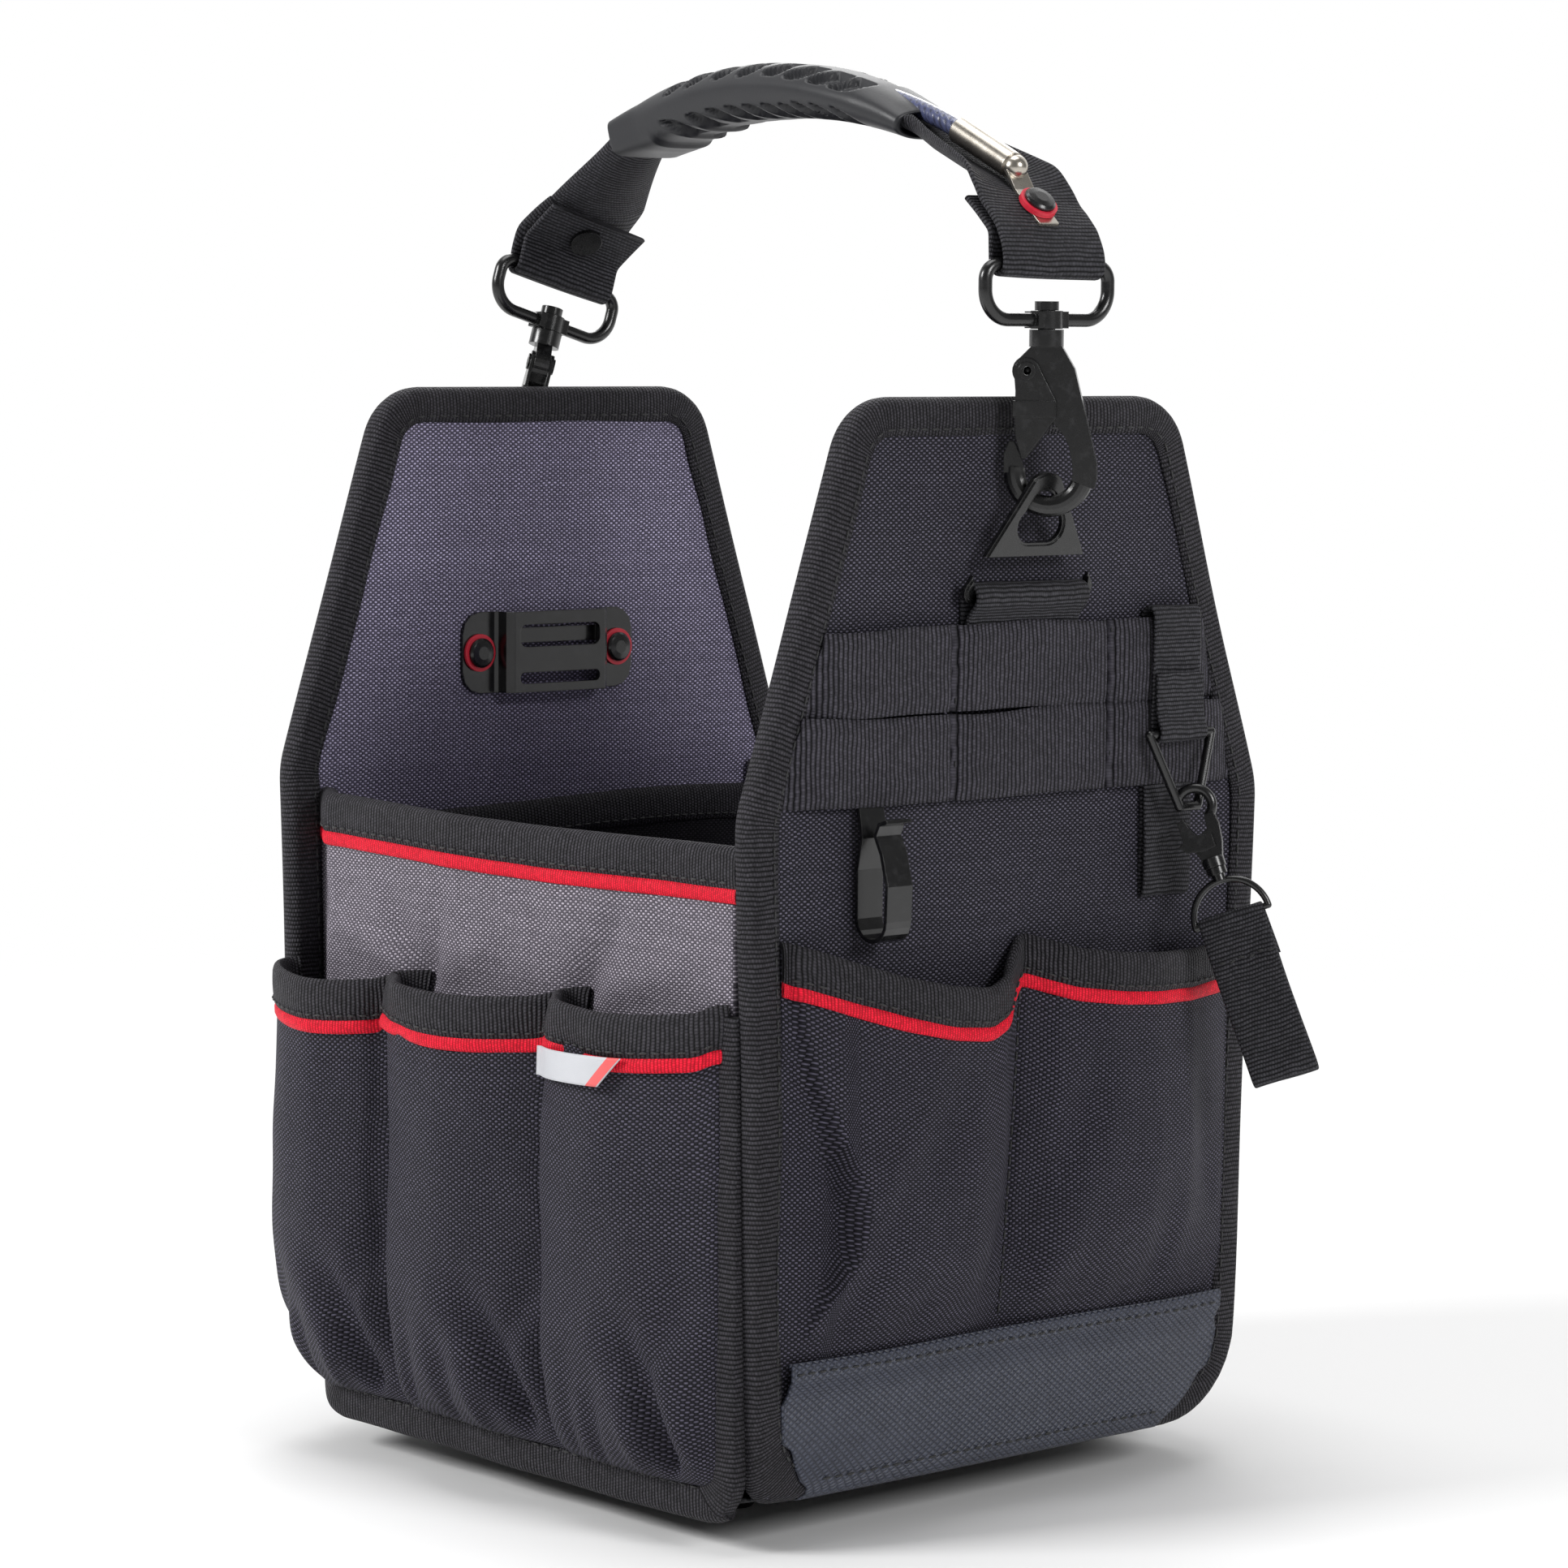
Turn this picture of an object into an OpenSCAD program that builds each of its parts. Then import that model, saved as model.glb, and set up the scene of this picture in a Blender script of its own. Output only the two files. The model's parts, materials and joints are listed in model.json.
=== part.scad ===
// Open-top tool tote. Two tall end panels stand at -Y (near) and +Y (far), two lower side
// walls at -X (left) and +X (right) carry three tool sleeves each, and a webbing carry handle
// with a moulded grip hooks into a triangular eye on the outside of each end panel.
// Millimetres, +Z up, origin on the floor at the centre of the base.

/* [Shell] */
// width of each end panel at its shoulder
panel_w = 206; // [200:1:210]
// width of each end panel across its top edge, before the corners are rounded
panel_top_w = 130; // [124:1:140]
// height of the end panels' top edge
panel_top_z = 327; // [322:1:334]
// height of the shoulder where the end panels start to taper
shoulder_z = 210; // [206:1:214]
// height of the side walls' top edge
wall_top_z = 203; // [196:1:206]

/* [Pockets] */
// how far each tool sleeve stands out from the side wall
sleeve_d = 18; // [14:1:20]
// height of the tool sleeves' rim
sleeve_top_z = 152; // [140:1:160]
// how far the end pockets stand out from the end panels
end_pocket_d = 15; // [11:1:17]
// height of the end pockets' rim
end_pocket_top_z = 165; // [150:1:166]

/* [Hardware] */
// foot diameter
foot_d = 20; // [16:1:24]
// wire diameter of the handle's rectangular rings
ring_wire = 4; // [3.6:0.1:4]
// thickness of the snap hook body
hook_t = 5; // [4.6:0.1:5]

/* [Hidden] */
$fa = 6;
$fs = 0.6;

gap = 0.05;               // between sewn layers
fabric_t = 1.2;
tape_t = 1;               // binding tape thickness
tape_out = gap + tape_t;  // binding's outer face beyond the edge it wraps
tape_w = 11;              // visible width of the panel binding
piping_t = 1.4;
near_face = -111;         // y of the near panel's outer fabric face
left_face = -101;         // x of the left wall's outer face

// colours shared by several nodes
panel_colour = [0.17, 0.17, 0.20];
lining_colour = [0.34, 0.33, 0.39];
wall_colour = [0.46, 0.44, 0.49];
sleeve_colour = [0.21, 0.21, 0.23];
pocket_colour = [0.19, 0.19, 0.21];
tape_colour = [0.10, 0.10, 0.10];
piping_colour = [0.85, 0.08, 0.15];
washer_colour = [0.80, 0.08, 0.13];
webbing_colour = [0.11, 0.11, 0.12];
black = [0.05, 0.05, 0.05];
metal_colour = [0.05, 0.05, 0.06];
plate_colour = [0.06, 0.06, 0.07];
hook_colour = [0.04, 0.04, 0.05];
pin_colour = [0.07, 0.07, 0.08];

// ---------- helpers ----------
function unit(v) = v/norm(v);
function arc_points(centre, radius, start, end, steps) =
  [for (i=[0:steps])
    let(angle = start+(end-start)*i/steps) centre+radius*[cos(angle), sin(angle)]];
function corner_arc(before, point, after, radius, steps) =
  let(
    to_before = unit(before-point),
    to_after = unit(after-point),
    half_angle = acos(to_before*to_after)/2,
    setback = radius/tan(half_angle),
    centre = point+unit(to_before+to_after)*(radius/sin(half_angle)),
    first = point+to_before*setback-centre,
    last = point+to_after*setback-centre,
    start = atan2(first[1], first[0]),
    sweep = ((atan2(last[1], last[0])-start+540)%360)-180)
  arc_points(centre, radius, start, start+sweep, steps);
// polygon with each corner rounded to its own radius
function rounded(points, radii, steps) =
  let(count = len(points))
  [for (i=[0:count-1])
    each corner_arc(points[(i+count-1)%count], points[i], points[(i+1)%count], radii[i], steps)];
function rounded_box(low, high, radii, steps) =
  rounded([low, [high[0], low[1]], high, [low[0], high[1]]], radii, steps);
function path_normal(path, i) =
  let(along = unit(path[min(i+1, len(path)-1)]-path[max(i-1, 0)])) [-along[1], along[0]];
// outline of a strip that follows a path
function ribbon(path, thickness) = concat(
  [for (i=[0:len(path)-1]) path[i]+path_normal(path, i)*thickness/2],
  [for (i=[len(path)-1:-1:0]) path[i]-path_normal(path, i)*thickness/2]);

// a shape drawn in X and Z, given thickness from y0 to y1
module extrude_y(y0, y1) translate([0, y1, 0]) rotate([90, 0, 0]) linear_extrude(y1-y0) children();
// a shape drawn in Y and Z, given thickness from x0 to x1
module extrude_x(x0, x1) translate([x0, 0, 0]) rotate([90, 0, 90]) linear_extrude(x1-x0) children();
// parts are drawn at the near end or the left wall, then mirrored
module far_side() mirror([0, 1, 0]) children();
module right_side() mirror([1, 0, 0]) children();
module both_ends() {
  children();
  far_side() children();
}
module both_walls() {
  children();
  right_side() children();
}
module washer(outer_r, hole_r, thickness) {
  difference() {
    cylinder(h=thickness, r=outer_r);
    translate([0, 0, -1]) cylinder(h=3, r=hole_r);
  }
}
// domed rivet head
module rivet_cap(z, r, h) {
  translate([0, 0, z]) rotate_extrude()
    polygon([[0, 0], [r, 0], [r, h*0.45], [r*0.86, h*0.8], [r*0.45, h], [0, h]]);
}

// ---------- end panels: fabric, board and lining, bound round the edge ----------
panel_bottom_z = 14;
panel_bottom_w = 196;
board_in = fabric_t+gap+3;     // board's inner face, from the panel face
panel_t = board_in+gap+1;      // lining's inner face, from the panel face
sheet_inset = 1.3;             // fabric and lining, inside the binding's outline
bracket_rivet_x = 28.5;
bracket_rivet_z = 242.6;

module panel_shape(inset) {
  offset(delta=-inset) polygon(rounded([
    [-panel_bottom_w/2, panel_bottom_z], [panel_bottom_w/2, panel_bottom_z],
    [panel_w/2, shoulder_z], [panel_top_w/2, panel_top_z],
    [-panel_top_w/2, panel_top_z], [-panel_w/2, shoulder_z]], [28, 28, 30, 20, 20, 30], 8));
}
// the binding's outline, open along the middle of the bottom edge
module panel_edge_shape() {
  difference() {
    panel_shape(0);
    panel_shape(tape_w);
    translate([-70, 0]) square([140, 40]);
  }
}
// one sheet, its faces measured inwards from the panel face
module panel_sheet(outer, inner, inset) {
  extrude_y(near_face+outer, near_face+inner) panel_shape(inset);
}
module panel_fabric() panel_sheet(0, fabric_t, sheet_inset);
module panel_board() panel_sheet(fabric_t+gap, board_in, 1.6);
module panel_lining() panel_sheet(board_in+gap, panel_t, sheet_inset);
module panel_binding() {
  difference() {
    extrude_y(near_face-tape_out, near_face+panel_t+tape_out) panel_edge_shape();
    panel_sheet(-gap, panel_t+gap, sheet_inset-gap);
  }
}
// z = 0 on the panel face, +Z into the tote
module bracket_rivet_places() {
  for (s=[-1, 1])
    translate([s*bracket_rivet_x, near_face, bracket_rivet_z]) rotate([-90, 0, 0]) children();
}
module bracket_holes() bracket_rivet_places() translate([0, 0, -1]) cylinder(h=9, r=2.1);
// the far panel is holed for the bracket rivets
module far_holed() {
  far_side() difference() {
    children();
    bracket_holes();
  }
}

module near_panel_fabric() color(panel_colour) panel_fabric();
module far_panel_fabric() color(panel_colour) far_holed() panel_fabric();
module panel_boards() color([0.55, 0.50, 0.42]) {
  panel_board();
  far_holed() panel_board();
}
module near_panel_lining() color(lining_colour) panel_lining();
module far_panel_lining() color(lining_colour) far_holed() panel_lining();
module near_panel_binding() color(tape_colour) panel_binding();
module far_panel_binding() color(tape_colour) far_side() panel_binding();

// ---------- side walls ----------
wall_t = 3;
wall_bottom_z = 10;
wall_half_l = 104.4;      // half length of the binding and piping
wall_tape_h = 12;         // binding height along the top edge
wall_foot_tape_h = 11;    // binding height along the bottom edge
wall_h = wall_top_z-wall_bottom_z;

module wall() {
  translate([left_face, -wall_half_l-gap, wall_bottom_z+tape_out+gap])
    cube([wall_t, 2*(wall_half_l+gap), wall_h-2*(tape_out+gap)]);
}
module wall_tape(z, h) {
  translate([left_face-tape_out, -wall_half_l, z]) cube([wall_t+2*tape_out, 2*wall_half_l, h]);
}
module wall_binding() {
  difference() {
    union() {
      wall_tape(wall_top_z-wall_tape_h, wall_tape_h);
      wall_tape(wall_bottom_z, wall_foot_tape_h);
    }
    translate([left_face-gap, -106, wall_bottom_z+tape_out])
      cube([wall_t+2*gap, 212, wall_h-2*tape_out]);
  }
}

module left_wall() color(wall_colour) wall();
module right_wall() color(wall_colour) right_side() wall();
module left_wall_binding() color(tape_colour) wall_binding();
module right_wall_binding() color(tape_colour) right_side() wall_binding();
module wall_piping() color(piping_colour) both_walls()
  translate([left_face-gap-piping_t, -wall_half_l, wall_top_z-wall_tape_h-4.1])
    cube([piping_t, 2*wall_half_l, 4]);

// ---------- base and feet ----------
base_z = 12;                        // underside of the base fabric
board_z = base_z+fabric_t+gap;      // underside of the base board
foot_r = foot_d/2;
foot_x = 59;
foot_y = 57;
foot_dome_h = 9;

module foot_places() for (x=[-foot_x, foot_x], y=[-foot_y, foot_y]) translate([x, y, 0]) children();
module base_sheet(z, thickness, width, length) {
  difference() {
    translate([-width/2, -length/2, z]) cube([width, length, thickness]);
    foot_places() translate([0, 0, z-1]) cylinder(h=thickness+2, r=2.1);
  }
}
module foot() {
  dome = [for (a=[45:15:90])
    [foot_r*sin(a), foot_dome_h-foot_dome_h*cos(a-6*(90-a)/45)]];
  difference() {
    rotate_extrude() polygon(concat([[0, 0], [foot_r*sin(30), 0]], dome,
      [[foot_r, base_z-gap], [0, base_z-gap]]));
    translate([0, 0, 4.5]) cylinder(h=9, r=2.05);
  }
}

module base_fabric() color([0.12, 0.12, 0.13]) base_sheet(base_z, fabric_t, 193.2, 208.6);
module base_board() color([0.20, 0.20, 0.21]) base_sheet(board_z, 3, 192.4, 207.6);
module feet() color([0.06, 0.06, 0.06]) foot_places() foot();
// profile of radius and height, the head above the base board
module foot_screws() color([0.65, 0.65, 0.67]) foot_places() rotate_extrude()
  polygon([[0, 4.6], [2, 4.6], [2, 16.3], [5, 16.3], [4.9, 17.2], [4, 18], [0, 18.4]]);

// ---------- pouches: a bellied fabric front with a floor ----------
// Drawn against a sheet in the plane x = 0, bulging to -X, with the width along Y.
module pouch_shape(half_w, depth, grow) {
  intersection() {
    offset(delta=grow) polygon(concat(
      [[6, half_w]],
      [for (a=[0:10:180])
        [-depth*pow(sin(a), 0.7), half_w*sign(cos(a))*pow(abs(cos(a)), 0.85)]],
      [[6, -half_w]]));
    translate([-40, -half_w-10]) square([40-gap, 2*half_w+20]);   // keeps the outside part
  }
}
// upright shell between two offsets of the pouch shape
module pouch_shell(half_w, depth, z, h, outer, inner) {
  translate([0, 0, z]) linear_extrude(h) difference() {
    pouch_shape(half_w, depth, outer);
    pouch_shape(half_w, depth, inner);
  }
}
module pouch_fabric(half_w, depth, bottom_z, top_z) {
  pouch_shell(half_w, depth, bottom_z, top_z-tape_out-bottom_z, 0, -fabric_t);
  translate([0, 0, bottom_z]) linear_extrude(fabric_t) pouch_shape(half_w, depth, 0);
}
// tape outside, inside and over the rim
module pouch_binding(half_w, depth, top_z, tape_h) {
  pouch_shell(half_w, depth, top_z-tape_h, tape_h, tape_out, gap);
  pouch_shell(half_w, depth, top_z-tape_h, tape_h, -fabric_t-gap, -fabric_t-tape_out);
  pouch_shell(half_w, depth, top_z-tape_t, tape_t, tape_out, -fabric_t-tape_out);
}
module pouch_piping(half_w, depth, top_z, tape_h) {
  pouch_shell(half_w, depth, top_z-tape_h-4, 3.9, gap+piping_t, gap);
}

// ---------- tool sleeves ----------
sleeve_half_w = 33;
sleeve_pitch = 69.4;
sleeve_tape_h = 13;

module sleeve_places() {
  for (y=[-sleeve_pitch, 0, sleeve_pitch]) translate([left_face, y, 0]) children();
}
// three sleeves and the upright strips between them
module sleeves() {
  sleeve_places() pouch_fabric(sleeve_half_w, sleeve_d, 21.4, sleeve_top_z);
  for (y=[-sleeve_pitch/2, sleeve_pitch/2])
    translate([left_face-fabric_t-gap, y-1.4, 24]) cube([fabric_t, 2.8, sleeve_top_z-46]);
}
module sleeve_binding() {
  sleeve_places() pouch_binding(sleeve_half_w, sleeve_d, sleeve_top_z, sleeve_tape_h);
}

module left_sleeves() color(sleeve_colour) sleeves();
module right_sleeves() color(sleeve_colour) right_side() sleeves();
module left_sleeve_binding() color(tape_colour) sleeve_binding();
module right_sleeve_binding() color(tape_colour) right_side() sleeve_binding();
module sleeve_piping() color(piping_colour) both_walls() sleeve_places()
  pouch_piping(sleeve_half_w, sleeve_d, sleeve_top_z, sleeve_tape_h);
// flat tag in front of the left sleeve nearest -Y
module label_tag() color([0.82, 0.82, 0.84])
  translate([left_face-sleeve_d-2, -84, sleeve_top_z-20.4]) cube([0.5, 37, 9.4]);

// ---------- end pockets and inner pocket ----------
end_pocket_half_w = 42.5;
end_pocket_x = 44.5;
pocket_tape_h = 12;
inner_pocket_half_w = 85.4;
inner_pocket_d = 9;
inner_pocket_top_z = 195;

module end_pocket_places() {
  for (x=[-end_pocket_x, end_pocket_x])
    translate([x, near_face, 0]) rotate([0, 0, 90]) mirror([0, 0, 0]) children();
}
// two pockets and the upright strip between them
module end_pockets() {
  end_pocket_places() pouch_fabric(end_pocket_half_w, end_pocket_d, 55.8, end_pocket_top_z);
  translate([-2.1, near_face-fabric_t-gap, 56]) cube([4.2, fabric_t, end_pocket_top_z-80]);
}
module end_pocket_binding() {
  end_pocket_places()
    pouch_binding(end_pocket_half_w, end_pocket_d, end_pocket_top_z, pocket_tape_h);
}
// against the far panel's lining
module inner_pocket_place() translate([0, -near_face-panel_t, 0]) rotate([0, 0, 90]) children();

module near_pocket() color(pocket_colour) end_pockets();
module far_pocket() color(pocket_colour) far_side() end_pockets();
module near_pocket_binding() color(tape_colour) end_pocket_binding();
module far_pocket_binding() color(tape_colour) far_side() end_pocket_binding();
module end_pocket_piping() color(piping_colour) both_ends() end_pocket_places()
  pouch_piping(end_pocket_half_w, end_pocket_d, end_pocket_top_z, pocket_tape_h);
module inner_pocket() color([0.10, 0.10, 0.11]) inner_pocket_place()
  pouch_fabric(inner_pocket_half_w, inner_pocket_d, 36, inner_pocket_top_z);
module inner_pocket_binding() color(tape_colour) inner_pocket_place()
  pouch_binding(inner_pocket_half_w, inner_pocket_d, inner_pocket_top_z, pocket_tape_h);

// ---------- bands and webbing on the panels ----------
eye_bar = [near_face-4.3, 270.2];   // y and z of the eye plate's strap bar
key_bar = [near_face-7.9, 227];     // y and z of the key ring's top wire
rows_z = 212;                       // bottom of the webbing rows

// band across the bottom of a panel, inside its binding
module base_band_shape() {
  difference() {
    intersection() {
      panel_shape(0.2);
      translate([-120, panel_bottom_z]) square([240, 40.5]);
    }
    offset(delta=0.1) panel_edge_shape();
  }
}
module row_shape() {
  intersection() {
    panel_shape(tape_w+1.2);
    translate([-100, rows_z]) square([200, 50]);
  }
}
module row_split() translate([-100, 236.8]) square([200, 0.4]);

module base_bands() color([0.24, 0.25, 0.31])
  both_ends() extrude_y(near_face-1.3, near_face-gap) base_band_shape();
// two rows of webbing, held off the panel at their ends and along two upright lines
module loop_webbing() color(webbing_colour) {
  extrude_y(near_face-4.6, near_face-3.3) difference() {
    row_shape();
    row_split();
  }
  extrude_y(near_face-3.35, near_face-gap) difference() {
    union() {
      difference() {
        row_shape();
        panel_shape(tape_w+2.7);
      }
      for (x=[-28.5, 36]) translate([x-0.8, rows_z]) square([1.6, 50]);
    }
    row_split();
  }
}
// strap that carries an eye plate: up the panel, round the plate's bar, back down
module eye_strap(bottom_z) {
  extrude_x(-22.8, 22.8) polygon(ribbon(concat(
    [[near_face-0.85, bottom_z], [near_face-0.85, 268]],
    arc_points(eye_bar, 3.45, 0, 180, 12),
    [[near_face-7.5, 268.4], [near_face-3.1, 264.3], [near_face-2.4, 262.7],
      [near_face-2.4, bottom_z]]), 1.4));
}
module near_eye_strap() color(webbing_colour) eye_strap(240);
module far_eye_strap() color(webbing_colour) far_side() eye_strap(222);
// narrow strap over the webbing rows: folded behind them, looped round the key ring in front
module key_strap() color(webbing_colour) extrude_x(51.6, 71.6) polygon(ribbon(concat(
  [[near_face-2.45, 213.5], [near_face-2.45, 179]],
  arc_points([near_face-1.65, 178], 0.8, 180, 360, 6),
  [[near_face-0.85, 179], [near_face-0.85, 261.4]],
  arc_points([near_face-3.3, 262.6], 2.45, 0, 180, 8),
  [[near_face-5.75, 261], [near_face-5.75, 234]],
  arc_points(key_bar, 2.15, 60, -240, 14),
  [[near_face-7.2, 232.4], [near_face-7.2, 246]]), 1.1));
// bent strip with a hooked lower end, on the near panel
module hanging_clip() color(black) extrude_x(-64, -54.5) polygon(ribbon(concat(
  [[near_face-2.2, 238.5], [near_face-1.9, 236], [near_face-1.9, 214],
    [near_face-4.0, 203], [near_face-2.2, 194]],
  arc_points([near_face-8.2, 180], 6, 0, -180, 10),
  [[near_face-14.6, 190], [near_face-12.2, 199], [near_face-9.6, 204],
    [near_face-11.2, 207.4], [near_face-14.4, 208.4]]), 1.2));

// ---------- eye plate: triangle with a strap slot and a round-cornered eye ----------
// Two equal lower circles and one top circle, joined by their tangents.
function round_triangle(low, low_r, top, top_r, top_steps) =
  let(
    slope = top-low,
    normal = atan2(slope[1], slope[0])-acos((top_r-low_r)/norm(slope)))
  concat(
    arc_points(low, low_r, -90, normal, 8),
    arc_points(top, top_r, normal, 180-normal, top_steps),
    arc_points([-low[0], low[1]], low_r, 180-normal, 270, 8));
function eye_outline(grow) = round_triangle([4.0, 20.6], 5.0+grow, [0, 25.0], 6.1+grow, 10);

// upright, strap bar centred on the origin, thickness along Y
module eye_plate() {
  base_corner = [22.2, 1.5];
  outline = concat([[base_corner[0]-2, -2.1]],
    round_triangle(base_corner, 3.6, [0, 27.8], 8.6, 12));
  difference() {
    union() {
      extrude_y(-0.7, 0.7) difference() {
        polygon(outline);
        polygon(eye_outline(0));
      }
      extrude_y(-1.25, 1.25) difference() {
        offset(delta=-0.7) polygon(outline);
        polygon(eye_outline(0.8));
      }
    }
    extrude_y(-5, 5) polygon(rounded_box([-23.3, 2.1], [23.3, 11.8], [1, 1, 2.5, 2.5], 4));
  }
}
module hung_eye_plate(tilt) {
  translate([0, eye_bar[0], eye_bar[1]]) rotate([tilt, 0, 0]) eye_plate();
}

module near_eye_plate() color(plate_colour) hung_eye_plate(12.8);
module far_eye_plate() color(plate_colour) far_side() hung_eye_plate(13);

// ---------- frames of the handle ----------
near_hold_y = -122.3;     // where the near hook hangs
far_hold_y = 122.4;       // where the far hook hangs
hook_z = 299.0;           // inside bottom of the near hook
lean = 17;                // the far hook leans towards +X
bar_h = 66;               // ring top bar above the hook's inside bottom
near_bar_z = hook_z+bar_h;
handle_yaw = -atan(bar_h*sin(lean)/(far_hold_y-near_hold_y));
near_hook_turn = -49;     // about the hook's stud
far_hook_turn = 57;

module at_near(turn) translate([0, near_hold_y, hook_z]) rotate([0, 0, turn]) children();
module at_far(turn) {
  translate([0, far_hold_y, hook_z+0.3]) rotate([0, lean, 0]) rotate([0, 0, turn]) children();
}
// the handle plane is local YZ, y measured from the near hook
module in_handle_plane() translate([0, near_hold_y, 0]) rotate([0, 0, handle_yaw]) children();

// ---------- swivel ring: rectangular wire ring, collar with a vertical bore ----------
module swivel_ring() {
  wire_r = ring_wire/2;
  half_w = 23;
  low_z = 50.4;
  low_r = 8.5;    // bend radius of the lower corners
  top_r = 4.5;    // bend radius of the upper corners
  difference() {
    union() {
      for (s=[-1, 1]) {
        translate([s*(half_w-low_r), 0, low_z+low_r])
          rotate([90, 0, 0]) rotate([0, 0, s>0 ? -90 : 180])
            rotate_extrude(angle=90) translate([low_r, 0]) circle(r=wire_r);
        translate([s*(half_w-top_r), 0, bar_h-top_r])
          rotate([90, 0, 0]) rotate([0, 0, s>0 ? 0 : 90])
            rotate_extrude(angle=90) translate([top_r, 0]) circle(r=wire_r);
        translate([s*half_w, 0, low_z+low_r]) cylinder(h=bar_h-low_z-low_r-top_r, r=wire_r);
      }
      translate([-half_w+low_r, 0, low_z])
        rotate([0, 90, 0]) cylinder(h=2*(half_w-low_r), r=wire_r);
      translate([-half_w+top_r, 0, bar_h])
        rotate([0, 90, 0]) cylinder(h=2*(half_w-top_r), r=wire_r);
      translate([0, 0, low_z-2.6]) cylinder(h=5.2, r=4.7);
      translate([-5.6, -3.2, low_z-2.4]) cube([11.2, 6.4, 4.8]);
    }
    translate([0, 0, low_z-8]) cylinder(h=16, r=2.55);
  }
}

module near_swivel_ring() color(metal_colour) at_near(handle_yaw) swivel_ring();
module far_swivel_ring() color(metal_colour) at_far(handle_yaw) swivel_ring();

// ---------- snap hook: drawn in XZ, stud axis on Z, inside bottom at z = 0 ----------
bow_r = 6.9;                      // inside radius
bow_centre = [1.2, bow_r];
bow_half_w = 3.1;                 // half the bow section's width
gate_pivot = [-5.3, 35.8];
cheek_t = 1.1;
cheek_in = hook_t/2+0.15;         // inner face of the gate's cheeks
cheek_out = cheek_in+cheek_t;

module hook() {
  // body and spine
  extrude_y(-hook_t/2, hook_t/2) difference() {
    polygon(concat(
      [[-4, 43], [4.6, 43], [8.4, 36.5], [10, 30], [15.1, 9]],
      arc_points([bow_centre[0]+0.6, 6.5], 13.3, 8, -20, 4),
      arc_points(bow_centre, bow_r, -20, 8, 4),
      [[7.7, 11], [6.7, 15], [5.0, 18], [2.7, 20.6], [-1, 25.5], [-4.4, 29.6], [-8.6, 32.2]],
      arc_points(gate_pivot, 4.3, 215, 120, 6)));
    translate(gate_pivot) circle(r=2.05);
  }
  // rounded bow from the spine round to the tip
  translate([bow_centre[0], 0, bow_centre[1]]) rotate([90, 0, 0]) rotate([0, 0, 172])
    rotate_extrude(angle=184, $fn=64) translate([bow_r+bow_half_w, 0])
      polygon([for (i=[0:15]) [bow_half_w*cos(i*24), (hook_t/2-0.2)*sin(i*24)]]);
  // tip
  extrude_y(-1.9, 1.9) polygon([[-11.8, 6.4], [-6.0, 7.6], [-6.95, 11.5], [-8.8, 15.4],
    [-10.2, 15.7], [-11.8, 12]]);
  // neck flange, stud and stud head
  translate([0, 0, 42.7]) cylinder(h=4.9, r=5);
  translate([0, 0, 42.7]) cylinder(h=12.4, r=2.5);
  translate([0, 0, 53.1]) cylinder(h=2.6, r=3.5);
}
module gate_cheek_shape() {
  polygon(concat(
    [[-8.5, 30], [-8.6, 22.6], [-8.4, 17], [-6.5, 10.6], [-5.5, 10.6], [3.2, 22.4], [3.3, 27]],
    arc_points(gate_pivot, 3.7, 35, 190, 10)));
}
module at_gate_pivot() translate([gate_pivot[0], 0, gate_pivot[1]]) rotate([90, 0, 0]) children();
module gate() {
  difference() {
    union() {
      for (s=[-1, 1]) {
        translate([0, s*(cheek_in+cheek_t/2), 0])
          extrude_y(-cheek_t/2, cheek_t/2) gate_cheek_shape();
        // raised bar across the cheek
        translate([0, s*(cheek_out+0.25), 0])
          extrude_y(-0.3, 0.3) polygon([[-9.2, 22.6], [2.9, 22.6], [2.9, 27.2], [-9.2, 27.2]]);
      }
      extrude_y(-cheek_out, cheek_out)
        polygon([[-9.2, 22.6], [-8.1, 22.6], [-7.9, 27.2], [-9.2, 27.2]]);
      // web joining the cheeks
      extrude_y(-cheek_in-0.1, cheek_in+0.1) polygon([[-8.5, 27], [-7.4, 27], [-7.5, 16.5],
        [-5.7, 10.6], [-6.5, 10.8], [-8.4, 17], [-8.6, 22.8]]);
    }
    at_gate_pivot() cylinder(h=20, r=2.05, center=true);
  }
}
// hollow pin with a flange at each end
module gate_pin() {
  at_gate_pivot() difference() {
    union() {
      cylinder(h=2*(cheek_out+0.1), r=2.0, center=true);
      for (s=[-1, 1]) translate([0, 0, s*(cheek_out+0.35)]) cylinder(h=0.6, r=2.6, center=true);
    }
    cylinder(h=20, r=1.3, center=true);
  }
}

module near_hook() color(hook_colour) at_near(near_hook_turn) hook();
module far_hook() color(hook_colour) at_far(far_hook_turn) hook();
module near_gate() color(metal_colour) at_near(near_hook_turn) gate();
module far_gate() color(metal_colour) at_far(far_hook_turn) gate();
module near_gate_pin() color(pin_colour) at_near(near_hook_turn) gate_pin();
module far_gate_pin() color(pin_colour) at_far(far_hook_turn) gate_pin();

// ---------- handle ----------
arch_centre = [127.7, 194];       // y and z in the handle plane
arch_angle = 18.3;                // grip's reach each side of the top, degrees
cable_arch_r = 228;
strap_t = 1.8;
strap_half_w = 19;                // wide ends at the rings
strap_bend_r = ring_wire/2+1.1;   // strap's centreline round a ring bar
rivet_r = 1.8;
ferrule_angle = 24;
// y and z of the ferrule's ends; the upper one lies on the cable's arch
ferrule_low_y = 16.0;
ferrule_high_y = 40.2;
ferrule_high = [ferrule_high_y,
  arch_centre[1]+cable_arch_r*cos(asin((arch_centre[0]-ferrule_high_y)/cable_arch_r))];
ferrule_low = [ferrule_low_y,
  ferrule_high[1]-(ferrule_high_y-ferrule_low_y)*tan(ferrule_angle)];
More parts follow.
